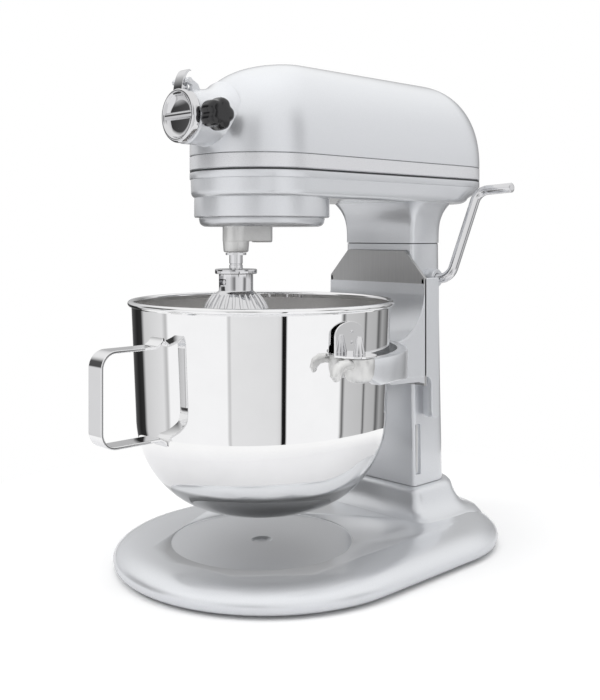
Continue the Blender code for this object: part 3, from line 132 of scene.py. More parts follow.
def makeWorld():
    world = bpy.data.worlds.new("studioWorld")
    world.use_nodes = True
    bpy.context.scene.world = world
    tree = world.node_tree
    join = tree.links.new
    tree.nodes.clear()
    coords = node(tree, "ShaderNodeTexCoord")
    split = node(tree, "ShaderNodeSeparateXYZ")
    join(coords.outputs["Generated"], split.inputs[0])
    around = node(tree, "ShaderNodeMath", operation="ARCTAN2")
    join(split.outputs["Y"], around.inputs[0])
    join(split.outputs["X"], around.inputs[1])
    share = node(tree, "ShaderNodeMath", operation="MULTIPLY_ADD")
    join(around.outputs[0], share.inputs[0])
    share.inputs[1].default_value = 1 / (2 * pi)
    share.inputs[2].default_value = -studio["front"] / 360 + 0.5
    wrap = node(tree, "ShaderNodeMath", operation="FRACT")
    join(share.outputs[0], wrap.inputs[0])
    low = panels(tree, wrap.outputs[0], studio["low"])
    high = panels(tree, wrap.outputs[0], studio["high"])
    level = fade(tree, split.outputs["Z"], low, high, *studio["lowToHigh"])
    ceiling = fade(tree, split.outputs["Z"], level, None, *studio["highToTop"])
    back = node(tree, "ShaderNodeBackground")
    back.inputs["Strength"].default_value = studio["level"]
    join(ceiling, back.inputs["Color"])
    plain = node(tree, "ShaderNodeBackground")
    plain.inputs["Color"].default_value = (1, 1, 1, 1)
    paths = node(tree, "ShaderNodeLightPath")
    choose = node(tree, "ShaderNodeMixShader")
    join(paths.outputs["Is Camera Ray"], choose.inputs[0])
    join(back.outputs[0], choose.inputs[1])
    join(plain.outputs[0], choose.inputs[2])
    out = node(tree, "ShaderNodeOutputWorld")
    join(choose.outputs[0], out.inputs[0])


lamps = dict(
    keyPanel=dict(place=(-0.6, -1.5, 1.5), aim=(0, 0, 0.25), size=(1.4, 1.0), power=14),
    topPanel=dict(place=(0.1, 0.1, 1.9), aim=(0, 0, 0.2), size=(1.6, 1.6), power=16),
    sidePanel=dict(place=(1.7, 0.5, 1.0), aim=(0, 0, 0.25), size=(0.9, 1.4), power=1.5),
)


def areaLight(name, place, aim, size, power):
    lamp = bpy.data.lights.new(name, "AREA")
    lamp.shape = "RECTANGLE"
    lamp.size, lamp.size_y = size
    lamp.energy = power
    holder = bpy.data.objects.new(name, lamp)
    holder.visible_glossy = False
    holder.location = place
    holder.rotation_euler = (Vector(aim) - Vector(place)).to_track_quat("-Z", "Y").to_euler()
    show(holder)


# paper that is darker where steel mirrors it, and runs out to white at its edge
ground = dict(radius=0.46, rings=(0.02, 0.10, 0.20, 0.32), sides=96, whiteFrom=0.28, whiteBy=0.40,
              mirrored=(0.66, 0.66, 0.67))


def makeFloor():
    bm = bmesh.new()
    rows = skin(bm, [ring(r, 0, ground["sides"]) for r in (*ground["rings"], ground["radius"])], ends=False)
    bm.faces.new(rows[0])
    mesh = bpy.data.meshes.new("studioFloor")
    bm.to_mesh(mesh)
    bm.free()
    floor = bpy.data.objects.new("studioFloor", mesh)
    show(floor)
    mesh.materials.append(finishes["paper"])
    tree = finishes["paper"].node_tree
    join = tree.links.new
    shader = tree.nodes["Principled BSDF"]
    paths = node(tree, "ShaderNodeLightPath")
    dull = node(tree, "ShaderNodeBsdfDiffuse")
    dull.inputs["Color"].default_value = (*ground["mirrored"], 1)
    choose = node(tree, "ShaderNodeMixShader")
    join(paths.outputs["Is Glossy Ray"], choose.inputs[0])
    join(shader.outputs[0], choose.inputs[1])
    join(dull.outputs[0], choose.inputs[2])
    coords = node(tree, "ShaderNodeTexCoord")
    far = node(tree, "ShaderNodeVectorMath", operation="LENGTH")
    join(coords.outputs["Object"], far.inputs[0])
    edge = node(tree, "ShaderNodeMapRange")
    edge.inputs["From Min"].default_value = ground["whiteFrom"]
    edge.inputs["From Max"].default_value = ground["whiteBy"]
    join(far.outputs["Value"], edge.inputs["Value"])
    white = node(tree, "ShaderNodeEmission")
    runOut = node(tree, "ShaderNodeMixShader")
    join(edge.outputs[0], runOut.inputs[0])
    join(choose.outputs[0], runOut.inputs[1])
    join(white.outputs[0], runOut.inputs[2])
    join(runOut.outputs[0], tree.nodes["Material Output"].inputs[0])


# finishes

def blank(name, colour, rough, metal):
    mat = bpy.data.materials.new(name)
    mat.use_nodes = True
    shader = mat.node_tree.nodes["Principled BSDF"]
    shader.inputs["Base Color"].default_value = (*colour, 1)
    shader.inputs["Roughness"].default_value = rough
    shader.inputs["Metallic"].default_value = metal
    return mat, mat.node_tree, shader


def grain(tree, scale, stretch=(1, 1, 1), detail=3.0):
    # noise in the piece's own space; a stretch makes it run one way, as brushing does
    coords = node(tree, "ShaderNodeTexCoord")
    mapping = node(tree, "ShaderNodeMapping")
    mapping.inputs["Scale"].default_value = stretch
    noise = node(tree, "ShaderNodeTexNoise")
    noise.inputs["Scale"].default_value = scale
    noise.inputs["Detail"].default_value = detail
    tree.links.new(coords.outputs["Object"], mapping.inputs["Vector"])
    tree.links.new(mapping.outputs[0], noise.inputs["Vector"])
    return noise.outputs["Fac"]


grainSpan = (0.3, 0.7)  # the part of the noise's range that it really fills


def varyColour(tree, shader, source, colour, swing):
    ramp = node(tree, "ShaderNodeValToRGB")
    first, last = ramp.color_ramp.elements
    first.position, last.position = grainSpan
    first.color = (*[max(c * (1 - swing), 0) for c in colour], 1)
    last.color = (*[min(c * (1 + swing), 1) for c in colour], 1)
    tree.links.new(source, ramp.inputs[0])
    tree.links.new(ramp.outputs[0], shader.inputs["Base Color"])


def varyRough(tree, shader, source, low, high):
    spread = node(tree, "ShaderNodeMapRange")
    spread.inputs["From Min"].default_value = grainSpan[0]
    spread.inputs["From Max"].default_value = grainSpan[1]
    spread.inputs["To Min"].default_value = low
    spread.inputs["To Max"].default_value = high
    tree.links.new(source, spread.inputs["Value"])
    tree.links.new(spread.outputs[0], shader.inputs["Roughness"])


def roughen(tree, shader, source, strength, distance=0.0002):
    bump = node(tree, "ShaderNodeBump")
    bump.inputs["Strength"].default_value = strength
    bump.inputs["Distance"].default_value = distance
    tree.links.new(source, bump.inputs["Height"])
    tree.links.new(bump.outputs[0], shader.inputs["Normal"])


# each finish has a colour and its swing, roughness low and high, metal, the scale and stretch of its grain,
# a bump, and a clear coat with its roughness
looks = dict(
    silverEnamel=dict(colour=(0.76, 0.775, 0.80), rough=(0.30, 0.36), metal=0.62, swing=0.045, scale=2600,
                      bump=0.03, coat=0.9, coatRough=0.05),
    yokePlate=dict(colour=(0.50, 0.50, 0.50), rough=(0.30, 0.42), metal=0.85, swing=0.05, scale=700,
                   stretch=(1, 1, 0.04), bump=0.05),
    bandSatin=dict(colour=(0.76, 0.765, 0.785), rough=(0.27, 0.30), metal=0.40, swing=0.008, scale=3200,
                   bump=0.004,
                   coat=0.3, coatRough=0.10),
    # the bowl's steel; its foot entry paints a reflection, darker below a height, given as low and high
    # heights and the darkest share
    bowlSteelPaintedReflection=dict(colour=(0.93, 0.93, 0.93), rough=(0.015, 0.035), metal=1.0, swing=0.01, scale=60,
                   bump=0.004,
                   foot=(0.0745, 0.0775, 0.42)),
    mirrorSteel=dict(colour=(0.90, 0.90, 0.905), rough=(0.015, 0.035), metal=1.0, swing=0.01, scale=60,
                     bump=0.004),
    brushedSteel=dict(colour=(0.86, 0.85, 0.84), rough=(0.30, 0.44), metal=1.0, swing=0.06, scale=500,
                      stretch=(1, 1, 9), bump=0.05),
    brightChrome=dict(colour=(0.74, 0.74, 0.75), rough=(0.03, 0.06), metal=1.0, swing=0.01, scale=80,
                      bump=0.004),
    blastedNickel=dict(colour=(0.78, 0.78, 0.77), rough=(0.30, 0.42), metal=0.75, swing=0.05, scale=1800,
                       bump=0.10),
    gearSteel=dict(colour=(0.42, 0.42, 0.43), rough=(0.28, 0.45), metal=1.0, swing=0.08, scale=900,
                   bump=0.06),
    gearBronze=dict(colour=(0.60, 0.40, 0.17), rough=(0.28, 0.42), metal=1.0, swing=0.08, scale=900,
                    bump=0.06),
    woundCopper=dict(colour=(0.72, 0.35, 0.20), rough=(0.30, 0.45), metal=1.0, swing=0.15, scale=400,
                     stretch=(1, 12, 1), bump=0.2),
    glossBlack=dict(colour=(0.006, 0.006, 0.007), rough=(0.10, 0.16), metal=0.0, swing=0.10, scale=300,
                    bump=0.01,
                    coat=0.25, coatRough=0.03),
    mouldedGrey=dict(colour=(0.26, 0.26, 0.27), rough=(0.45, 0.60), metal=0.0, swing=0.06, scale=1500,
                     bump=0.08),
    footRubber=dict(colour=(0.055, 0.055, 0.055), rough=(0.70, 0.90), metal=0.0, swing=0.15, scale=900,
                    bump=0.2),
    darkGap=dict(colour=(0.045, 0.047, 0.05), rough=(0.50, 0.65), metal=0.2, swing=0.10, scale=600,
                 bump=0.05),
    paper=dict(colour=(0.90, 0.90, 0.90), rough=(0.85, 0.95), metal=0.0, swing=0.004, scale=3, bump=0.0),
)


def paintFootReflection(tree, shader, low, high, share):
    # painted reflection: darkens the bowl's steel below a height, standing in for a dark surface that it
    # would mirror there
    coords = node(tree, "ShaderNodeTexCoord")
    split = node(tree, "ShaderNodeSeparateXYZ")
    tree.links.new(coords.outputs["Object"], split.inputs[0])
    rise = node(tree, "ShaderNodeMapRange")
    rise.inputs["From Min"].default_value = low
    rise.inputs["From Max"].default_value = high
    rise.inputs["To Min"].default_value = share
    tree.links.new(split.outputs["Z"], rise.inputs["Value"])
    mix = node(tree, "ShaderNodeMix", data_type="RGBA", blend_type="MULTIPLY")
    mix.inputs[0].default_value = 1.0
    tree.links.new(shader.inputs["Base Color"].links[0].from_socket, mix.inputs[6])
    tree.links.new(rise.outputs[0], mix.inputs[7])
    tree.links.new(mix.outputs[2], shader.inputs["Base Color"])


def makeFinish(name, look):
    mat, tree, shader = blank(name, look["colour"], look["rough"][0], look["metal"])
    source = grain(tree, look["scale"], look.get("stretch", (1, 1, 1)))
    varyColour(tree, shader, source, look["colour"], look["swing"])
    varyRough(tree, shader, source, *look["rough"])
    if look["bump"]:
        roughen(tree, shader, source, look["bump"])
    # painted reflection that darkens the bowl's steel towards its foot
    if "foot" in look:
        paintFootReflection(tree, shader, *look["foot"])
    if "coat" in look:
        shader.inputs["Coat Weight"].default_value = look["coat"]
        shader.inputs["Coat Roughness"].default_value = look["coatRough"]
    return mat


finishes = {name: makeFinish(name, look) for name, look in looks.items()}

# mesh helpers

def skin(bm, rings, closed=False, ends=True):
    # a surface over rings that all have the same number of points
    rows = [[bm.verts.new(p) for p in line] for line in rings]
    count = len(rows[0])
    pairs = list(zip(rows, rows[1:]))
    if closed:
        pairs.append((rows[-1], rows[0]))
    for low, high in pairs:
        for i in range(count):
            j = (i + 1) % count
            bm.faces.new((low[i], low[j], high[j], high[i]))
    if ends and not closed:
        bm.faces.new(list(reversed(rows[0])))
        bm.faces.new(rows[-1])
    return rows


def ring(radius, z, sides, centre=(0, 0)):
    return [(centre[0] + radius * cos(2 * pi * i / sides),
             centre[1] + radius * sin(2 * pi * i / sides), z) for i in range(sides)]


def turn(profile, sides=96, centre=(0, 0), closed=False, ends=True):
    bm = bmesh.new()
    skin(bm, [ring(r, z, sides, centre) for r, z in profile], closed, ends)
    return bm


def layAlongY(bm, x=0.0, z=0.0):
    flat = Matrix(((1, 0, 0, x), (0, 0, 1, 0), (0, -1, 0, z), (0, 0, 0, 1)))
    bmesh.ops.transform(bm, matrix=flat, verts=bm.verts)
    return bm


def layAlongX(bm, y=0.0, z=0.0):
    flat = Matrix(((0, 0, 1, 0), (1, 0, 0, y), (0, 1, 0, z), (0, 0, 0, 1)))
    bmesh.ops.transform(bm, matrix=flat, verts=bm.verts)
    return bm


def plate(outline, low, high, along="z"):
    # an outline given a thickness along one axis
    lift = dict(z=lambda a, b, t: (a, b, t), x=lambda a, b, t: (t, a, b), y=lambda a, b, t: (a, t, b))[along]
    bm = bmesh.new()
    skin(bm, [[lift(a, b, t) for a, b in outline] for t in (low, high)])
    return bm


def gather(*parts):
    whole = bmesh.new()
    for part in parts:
        bmesh.ops.recalc_face_normals(part, faces=part.faces)
        if part.calc_volume(signed=True) < 0:
            bmesh.ops.reverse_faces(part, faces=part.faces)
        piece = bpy.data.meshes.new("part")
        part.to_mesh(piece)
        part.free()
        whole.from_mesh(piece)
        bpy.data.meshes.remove(piece)
    return whole


def flip(bm):
    bmesh.ops.scale(bm, vec=(-1, 1, 1), verts=bm.verts)
    return bm


def place(name, bm, finish, body, replaces=(), edge=0.0, sharp=32, tidy=True):
    # puts a piece on the bowl's axis, gives it its finish and fixes it to its body
    if tidy:
        bm = gather(bm)
    bmesh.ops.translate(bm, verts=bm.verts, vec=(0, axisY, 0))
    mesh = bpy.data.meshes.new(name)
    bm.to_mesh(mesh)
    bm.free()
    mesh.shade_smooth()
    mesh.set_sharp_from_angle(angle=radians(sharp))
    piece = bpy.data.objects.new(name, mesh)
    show(piece)
    mesh.materials.append(finishes[finish])
    if edge:
        bevel = piece.modifiers.new("softEdges", "BEVEL")
        bevel.width = edge
        bevel.segments = 3
        bevel.limit_method = "ANGLE"
        bevel.angle_limit = radians(sharp)
        bevel.harden_normals = True
    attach(piece, body)
    if replaces:
        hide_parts(*replaces)
    return piece


def carve(piece, bm):
    # cuts a shape out of a piece and applies it, so the piece keeps one clean mesh
    cutter = gather(bm)
    bmesh.ops.translate(cutter, verts=cutter.verts, vec=(0, axisY, 0))
    mesh = bpy.data.meshes.new("cutter")
    cutter.to_mesh(mesh)
    cutter.free()
    helper = bpy.data.objects.new("cutter", mesh)
    show(helper)
    cut = piece.modifiers.new("carve", "BOOLEAN")
    cut.operation = "DIFFERENCE"
    cut.solver = "EXACT"
    cut.object = helper
    with bpy.context.temp_override(object=piece, active_object=piece, selected_objects=[piece]):
        bpy.ops.object.modifier_move_to_index(modifier="carve", index=0)
        bpy.ops.object.modifier_apply(modifier="carve")
    bpy.data.objects.remove(helper, do_unlink=True)


def ease(t):
    t = min(max(t, 0), 1)
    return t * t * (3 - 2 * t)


def bentPath(corners, radius, steps=8):
    points = [Vector(c) for c in corners]
    path = [points[0]]
    for before, corner, after in zip(points, points[1:], points[2:]):
        back = (before - corner).normalized()
        on = (after - corner).normalized()
        half = back.angle(on) / 2
        reach = radius / tan(half)
        middle = corner + (back + on).normalized() * (radius / sin(half))
        start = (corner + back * reach - middle).normalized()
        end = (corner + on * reach - middle).normalized()
        path += [middle + start.slerp(end, k / steps) * radius for k in range(steps + 1)]
    return path + [points[-1]]


def bar(path, radii, sides=24):
    # a round bar whose radius is given at each point of its path
    points = [Vector(p) for p in path]
    side = (points[1] - points[0]).orthogonal().normalized()
    rings = []
    for i, point in enumerate(points):
        along = (points[min(i + 1, len(points) - 1)] - points[max(i - 1, 0)]).normalized()
        side = (side - along * side.dot(along)).normalized()
        other = along.cross(side)
        rings.append([point + (side * cos(a) + other * sin(a)) * radii[i]
                      for a in (2 * pi * k / sides for k in range(sides))])
    bm = bmesh.new()
    skin(bm, rings)
    return bm


makeCamera()
makeWorld()
makeFloor()
for name, lamp in lamps.items():
    areaLight(name, **lamp)
print("camera, light and finishes ready")


# head

headHigh = fromAxis("motor_head_housing")[1]
head = dict(half=0.0600, front=-0.0605, rear=headHigh.y, crest=headHigh.z, shoulder=0.3400, seam=0.3262,
            bandLow=0.3272, bandHigh=0.3388, bandDepth=0.0009, underside=0.3040, wall=0.0026,
            crownFront=0.045, crownRear=0.190, sideCurve=2.5, frontCurve=2.75, rearCurve=2.2,
            points=48, straight=14, levels=34)


def headPlan(half, front, rear):
    steps = head["points"]
    line = [(half * cos(pi + pi * i / steps), front + half + half * sin(pi + pi * i / steps))
            for i in range(steps + 1)]
    straight = head["straight"]
    line += [(half, front + half + (rear - front - 2 * half) * i / straight) for i in range(1, straight)]
    line += [(half * cos(pi * i / steps), rear - half + half * sin(pi * i / steps))
             for i in range(steps + 1)]
    line += [(-half, rear - half - (rear - front - 2 * half) * i / straight) for i in range(1, straight)]
    return line


def crownShare(share, curve):
    # how much of a crowned shape's width is left at a share of its height
    return (1 - share ** curve) ** (1 / curve)


def headAt(share, inset=0.0):
    half, front, rear = head["half"], head["front"], head["rear"]
    crownFront, crownRear = head["crownFront"], head["crownRear"]
    return ((half - inset) * crownShare(share, head["sideCurve"]),
            crownFront - (crownFront - front - inset) * crownShare(share, head["frontCurve"]),
            crownRear + (rear - crownRear - inset) * crownShare(share, head["rearCurve"]))


def headRing(z, inset):
    return [(x, y, z) for x, y in headPlan(*headAt(0, inset))]


def makeUpperHousing():
    rings = [headRing(head["seam"] + 0.0008, head["wall"]), headRing(head["seam"] + 0.0008, 0.0004),
             headRing(head["bandLow"] + 0.0002, 0.0), headRing(head["bandLow"] + 0.0003, head["bandDepth"]),
             headRing(head["bandHigh"] - 0.0001, head["bandDepth"]),
             headRing(head["bandHigh"] + 0.0003, 0.0004),
             headRing(head["bandHigh"] + 0.0007, 0.0)]
    for k in range(head["levels"]):
        share = sin(pi / 2 * k / (head["levels"] - 0.35))
        z = head["shoulder"] + (head["crest"] - head["shoulder"]) * share
        rings.append([(x, y, z) for x, y in headPlan(*headAt(share))])
    inner = []
    for k in range(0, head["levels"], 3):
        share = sin(pi / 2 * k / (head["levels"] - 0.35))
        z = head["shoulder"] + (head["crest"] - head["wall"] - head["shoulder"]) * share
        inner.append([(x, y, z) for x, y in headPlan(*headAt(share, head["wall"]))])
    outside = bmesh.new()
    rows = skin(outside, rings, ends=False)
    outside.faces.new(rows[-1])
    inside = skin(outside, inner, ends=False)
    outside.faces.new(list(reversed(inside[-1])))
    count = len(rows[0])
    for i in range(count):
        j = (i + 1) % count
        outside.faces.new((rows[0][j], rows[0][i], inside[0][i], inside[0][j]))
    # the hub's barrel runs out of the head with a hollow sweep
    hubZ, bore, front = hub["z"], hub["bore"], hub["front"]
    sweep = [(bore, front + 0.0004), (bore + 0.0005, front), (hub["radius"] - 0.0012, front),
             (hub["radius"], front + 0.0012)]
    for k in range(13):
        t = k / 12
        sweep.append((hub["radius"] + 0.0082 * t ** 2.6, -0.0720 + 0.0245 * t))
    sweep += [(0.0180, -0.0470), (bore, -0.0480)]
    barrel = layAlongY(turn(sweep, 96, closed=True), 0, hubZ)
    ears = [plate(hingeEar(), *sorted((side * hub["earInner"], side * hub["earOuter"])), along="x")
            for side in (-1, 1)]
    place("headShell", gather(outside, barrel, *ears), "silverEnamel", "frame", ["motor_head_housing"],
          tidy=False)
    band = bmesh.new()
    skin(band, [headRing(head["bandLow"] + 0.0004, head["bandDepth"]),
                headRing(head["bandLow"] + 0.0005, 0.0),
                headRing(head["bandHigh"] - 0.0006, 0.0), headRing(head["bandHigh"] - 0.0005,
                                                                   head["bandDepth"])], closed=True)
    place("headBand", band, "bandSatin", "frame", ["trim_band"])
    for name, z, tall, inset in (("seamLine", head["seam"], 0.0010, 0.0003),
                                 ("bandLine", head["bandHigh"] + 0.0001, 0.0004, 0.0005)):
        line = bmesh.new()
        skin(line, [headRing(z - tall / 2, 0.0022), headRing(z - tall / 2, inset),
                    headRing(z + tall / 2, inset),
                    headRing(z + tall / 2, 0.0022)], closed=True)
        place(name, line, "darkGap", "frame")


hub = dict(z=0.3672, radius=0.0220, bore=0.0164, front=-0.0815, hingeY=-0.0835, hingeZ=0.3935,
           capFront=-0.0888, earInner=0.0062, earOuter=0.0100,
           tabHalf=0.0054)


def hingeEar():
    y, z, front = hub["hingeY"], hub["hingeZ"], hub["front"]
    return [(front + 0.0004, hub["z"] + 0.0180), (front + 0.0090, hub["z"] + 0.0180),
            (front + 0.0060, z - 0.0022),
            (y + 0.0024, z + 0.0010), (y + 0.0010, z + 0.0024), (y - 0.0010, z + 0.0024),
            (y - 0.0023, z + 0.0006),
            (y - 0.0020, z - 0.0014), (front + 0.0004, z - 0.0034)]


# lower head, column and neck

post = dict(front=fromAxis("column_casting")[0].y, half=0.0412, top=0.2660, foot=0.0435)


# square corners in front and half an oval behind
def columnPlan(half, front, straight, rear, grow=0.0, corner=0.0035):
    w, f, r = half + grow, front - grow, rear + grow
    corner = corner + max(grow, 0) * 0.9
    line = []
    for cx, cy, start in ((-w + corner, f + corner, 180), (w - corner, f + corner, 270)):
        line += [(cx + corner * cos(radians(start + 15 * k)), cy + corner * sin(radians(start + 15 * k)))
                 for k in range(7)]
    line += [(w, f + corner + (straight - f - corner) * k / 6) for k in range(1, 6)]
    line += [(w * cos(pi * i / 36), straight + (r - straight) * sin(pi * i / 36)) for i in range(37)]
    line += [(-w, straight - (straight - f - corner) * k / 6) for k in range(1, 6)]
    return line


def columnRing(z, grow=0.0, level=None):
    level = z if level is None else level
    drop = (post["top"] - level) / (post["top"] - post["foot"])
    front = post["front"]
    plan = columnPlan(post["half"] + 0.0026 * drop, front, front + 0.0313 + 0.0040 * drop ** 1.5,
                      front + 0.0603 + 0.0020 * drop ** 1.5, grow)
    return [(x, y, z) for x, y in plan]


skirt = dict(radius=0.0566, bottom=0.2885, wall=0.0034, roof=0.3044)


def makeLowerHousing():
    rings = []
    rear, half = head["rear"], head["half"]
    levels = [(head["underside"], 0.0120, 1.0)]
    for k in range(9):
        a = pi / 2 * k / 8
        levels.append((head["underside"] + 0.0052 * (1 - cos(a)), 0.0012 + 0.0060 * (1 - sin(a)),
                       1.0 - 0.22 * k / 8))
    for k in range(1, 8):
        t = k / 7
        levels.append((0.3092 + 0.0102 * t, 0.0012 - 0.0003 * t, 0.78 * (1 - t) ** 1.7 + 0.02))
    levels += [(0.3196, 0.0009, 0.015), (0.3200, 0.0002, 0.01), (0.3206, 0.0, 0.0),
               (head["seam"] - 0.0010, 0.0, 0.0),
               (head["seam"] - 0.0006, 0.0005, 0.0)]
    for z, inset, tuck in levels:
        rings.append([(x, y, z) for x, y in headPlan(half - inset, head["front"] + inset,
                                                     rear - inset - 0.0225 * tuck)])
    body = bmesh.new()
    skin(body, rings)
    neck = bmesh.new()
    curve = []
    for k in range(17):
        t = k / 16
        curve.append(columnRing(post["top"] + 0.0005 + 0.0415 * t, 0.0006 + 0.0160 * t ** 3.4, post["top"]))
    skin(neck, curve)
    wall = [(skirt["radius"] - skirt["wall"], skirt["roof"]), (skirt["radius"] - skirt["wall"],
                                                               skirt["bottom"] + 0.0004),
            (skirt["radius"] - skirt["wall"] + 0.0004, skirt["bottom"]),
            (skirt["radius"] - 0.0008, skirt["bottom"]),
            (skirt["radius"], skirt["bottom"] + 0.0008), (skirt["radius"], skirt["bottom"] + 0.0135),
            (skirt["radius"] - 0.0002, skirt["roof"] + 0.0006)]
    rim = turn(wall, 128)
    place("gearHousing", gather(body, neck, rim), "silverEnamel", "frame", ["gearcase"], tidy=False)


def makeColumn():
    foot, top = post["foot"] + 0.0004, post["top"]
    rise = top - post["foot"] - 0.0008
    rings = [columnRing(foot, -0.0008)] + [columnRing(foot + rise * k / 16) for k in range(17)]
    rings.append(columnRing(top - 0.0002, -0.0004))
    bm = bmesh.new()
    skin(bm, rings)
    front = post["front"]
    column = place("columnBody", bm, "silverEnamel", "frame", ["column_casting"], sharp=28)
    for side in (-1, 1):
        slot = [(front + 0.0024, 0.0540), (front + 0.0096, 0.0540), (front + 0.0096, 0.0985),
                (front + 0.0080, 0.1003),
                (front + 0.0024, 0.1003)]
        carve(column, plate(slot, *sorted((side * 0.0412, side * 0.0480)), along="x"))
        rail = plate([(front + 0.0048, 0.0560), (front + 0.0066, 0.0560), (front + 0.0066, 0.0990),
                      (front + 0.0048, 0.0990)],
                     *sorted((side * 0.0409, side * 0.0424)), along="x")
        place("slotRail" + ("Left" if side < 0 else "Right"), rail, "blastedNickel", "frame")
    gap = bmesh.new()
    skin(gap, [columnRing(top - 0.0004, -0.0030), columnRing(top - 0.0004, -0.0007),
               columnRing(top + 0.0008, -0.0007, top),
               columnRing(top + 0.0008, -0.0030, top)], closed=True)
    place("neckLine", gap, "darkGap", "frame")


# base

baseHigh = fromAxis("base_casting")[1]
base = dict(half=baseHigh.x, rear=baseHigh.y, centre=0.0090, corner=0.1000, top=0.0196, bottom=0.0020)


def basePlan(inset, steps=40):
    half, rear, corner = base["half"] - inset, base["rear"] - inset, base["corner"] - inset
    line = [(half * cos(pi + pi * i / steps), base["centre"] + half * sin(pi + pi * i / steps))
            for i in range(steps + 1)]
    line += [(half, base["centre"] + (rear - corner - base["centre"]) * k / 6) for k in range(1, 6)]
    for cx, start in ((half - corner, 0), (-half + corner, 90)):
        line += [(cx + corner * cos(radians(start + 90 * i / 20)), rear - corner
                  + corner * sin(radians(start + 90 * i / 20)))
                 for i in range(21)]
    line += [(-half, rear - corner - (rear - corner - base["centre"]) * k / 6) for k in range(1, 6)]
    return line


def makeBase():
    section = [(base["bottom"], 0.0300), (base["bottom"], 0.0052), (0.0030, 0.0028), (0.0044, 0.0012),
               (0.0064, 0.0003),
               (0.0086, 0.0), (0.0108, 0.0005), (0.0130, 0.0018), (0.0150, 0.0040), (0.0167, 0.0070),
               (0.0180, 0.0105),
               (0.0189, 0.0145), (0.0194, 0.0190), (base["top"], 0.0240), (base["top"], 0.0300)]
    slab = bmesh.new()
    skin(slab, [[(x, y, z) for x, y in basePlan(inset)] for z, inset in section])
    # the foot of the column sweeps out into the base
    middle = post["front"] + 0.0303
    flare = [(0.0150, 0.0400), (0.0192, 0.0350), (0.0200, 0.0290), (0.0216, 0.0235), (0.0240, 0.0190),
             (0.0272, 0.0155),
             (0.0310, 0.0128), (0.0350, 0.0108), (0.0385, 0.0094), (0.0410, 0.0082), (0.0425, 0.0062),
             (0.0433, 0.0035),
             (post["foot"], -0.0020)]
    rings = []
    for z, grow in flare:
        line = []
        for x, y, _ in columnRing(z, max(min(grow, 0.004), 0), post["foot"]):
            out = Vector((x, y - middle)).normalized()
            extra = grow - max(min(grow, 0.004), 0)
            back = 1 - 0.62 * max(out.y, 0)
            line.append((x + out.x * extra, y + out.y * extra * back, z))
        rings.append(line)
    foot = bmesh.new()
    skin(foot, rings)
    piece = place("basePlate", slab, "silverEnamel", "frame", ["base_casting"], sharp=30)
    carve(piece, turn([(0.0752, base["top"] - 0.0010), (0.0760, base["top"] - 0.0006),
                       (0.0772, base["top"] + 0.0030)], 96))
    carve(piece, turn([(0.0040, base["top"] - 0.0034), (0.0070, base["top"] - 0.0028),
                       (0.0092, base["top"] - 0.0008),
                       (0.0100, base["top"] + 0.0020)], 48, (0, 0)))
    place("columnFoot", foot, "silverEnamel", "frame", sharp=50)


# bowl

bowl = dict(rim=rimRadius, rimZ=bowlHigh.z, top=rimRadius - 0.0030, waist=rimRadius - 0.0070, waistZ=0.1260,
            low=bowlLow.z, foot=0.0300, wall=0.0011, bead=0.0024, sides=192)


def bowlRadius(z):
    above = z - bowl["waistZ"]
    if above >= 0:
        return bowl["waist"] + (bowl["top"] - bowl["waist"]) * above / (bowl["rimZ"] - bowl["waistZ"])
    depth = (bowl["waistZ"] - z) / (bowl["waistZ"] - bowl["low"])
    return bowl["foot"] + (bowl["waist"] - bowl["foot"]) * (1 - min(depth, 1) ** 2) ** 0.5


def makeBowl():
    outside = [(0.0060, bowl["low"]), (0.0200, bowl["low"]), (0.0262, bowl["low"] + 0.0001)]
    for k in range(27):
        a = pi / 2 * k / 26
        z = bowl["waistZ"] - (bowl["waistZ"] - bowl["low"]) * cos(a)
        outside.append((bowlRadius(z), z))
    for k in range(1, 7):
        z = bowl["waistZ"] + (0.2150 - bowl["waistZ"]) * k / 6
        outside.append((bowlRadius(z), z))
    middle = (bowl["rim"] - bowl["bead"], bowl["rimZ"] - bowl["bead"])
    rim = [(middle[0] + bowl["bead"] * cos(radians(a)), middle[1] + bowl["bead"] * sin(radians(a)))
           for a in range(-70, 191, 20)]
    inside = [(r - bowl["wall"], z + (bowl["wall"] if z < bowl["waistZ"] else 0)) for r, z in outside[1:]]
    inside = [(0.0060, bowl["low"] + bowl["wall"])] + inside
    bm = turn(outside + rim + list(reversed(inside)), bowl["sides"])
    piece = place("bowlShell", bm, "bowlSteelPaintedReflection", "bowl_carrier", ["bowl"], sharp=50)
    piece.data.materials.append(finishes["brushedSteel"])
    for face in piece.data.polygons:
        c = face.center
        inward = Vector((c.x, c.y - axisY)).dot(Vector((face.normal.x, face.normal.y))) < 0
        if (inward or face.normal.z > 0.6) and c.z < bowl["rimZ"] - 0.0052:
            face.material_index = 1


handle = dict(reach=0.1620, top=0.1905, bottom=0.1185, half=0.0085, thick=0.0022, bend=0.0130)


def makeHandle():
    top = bowlRadius(handle["top"] + 0.004) + 0.0003
    low = bowlRadius(handle["bottom"] - 0.006) + 0.0003
    lines = []
    for inset in (0.0, handle["thick"]):
        corners = [(0, -top - 0.0060, handle["top"] - inset),
                   (0, -handle["reach"] + inset, handle["top"] - inset),
                   (0, -handle["reach"] + inset, handle["bottom"] + inset),
                   (0, -low - 0.0060, handle["bottom"] + inset)]
        path = bentPath(corners, handle["bend"] - inset, 10)
        first = [Vector((0, -top, handle["top"] + 0.0060 - inset * 1.4)),
                 Vector((0, -top - 0.0018, handle["top"] + 0.0030 - inset * 1.2))]
        last = [Vector((0, -low - 0.0018, handle["bottom"] - 0.0028 + inset * 1.2)),
                Vector((0, -low, handle["bottom"] - 0.0055 + inset * 1.4))]
        lines.append(first + path + last)
    outline = [(p.y, p.z) for p in lines[0]] + [(p.y, p.z) for p in reversed(lines[1])]
    place("bowlGrip", plate(outline, -handle["half"], handle["half"], "x"), "mirrorSteel", "bowl_carrier",
          ["bowl_handle"], edge=0.0006)


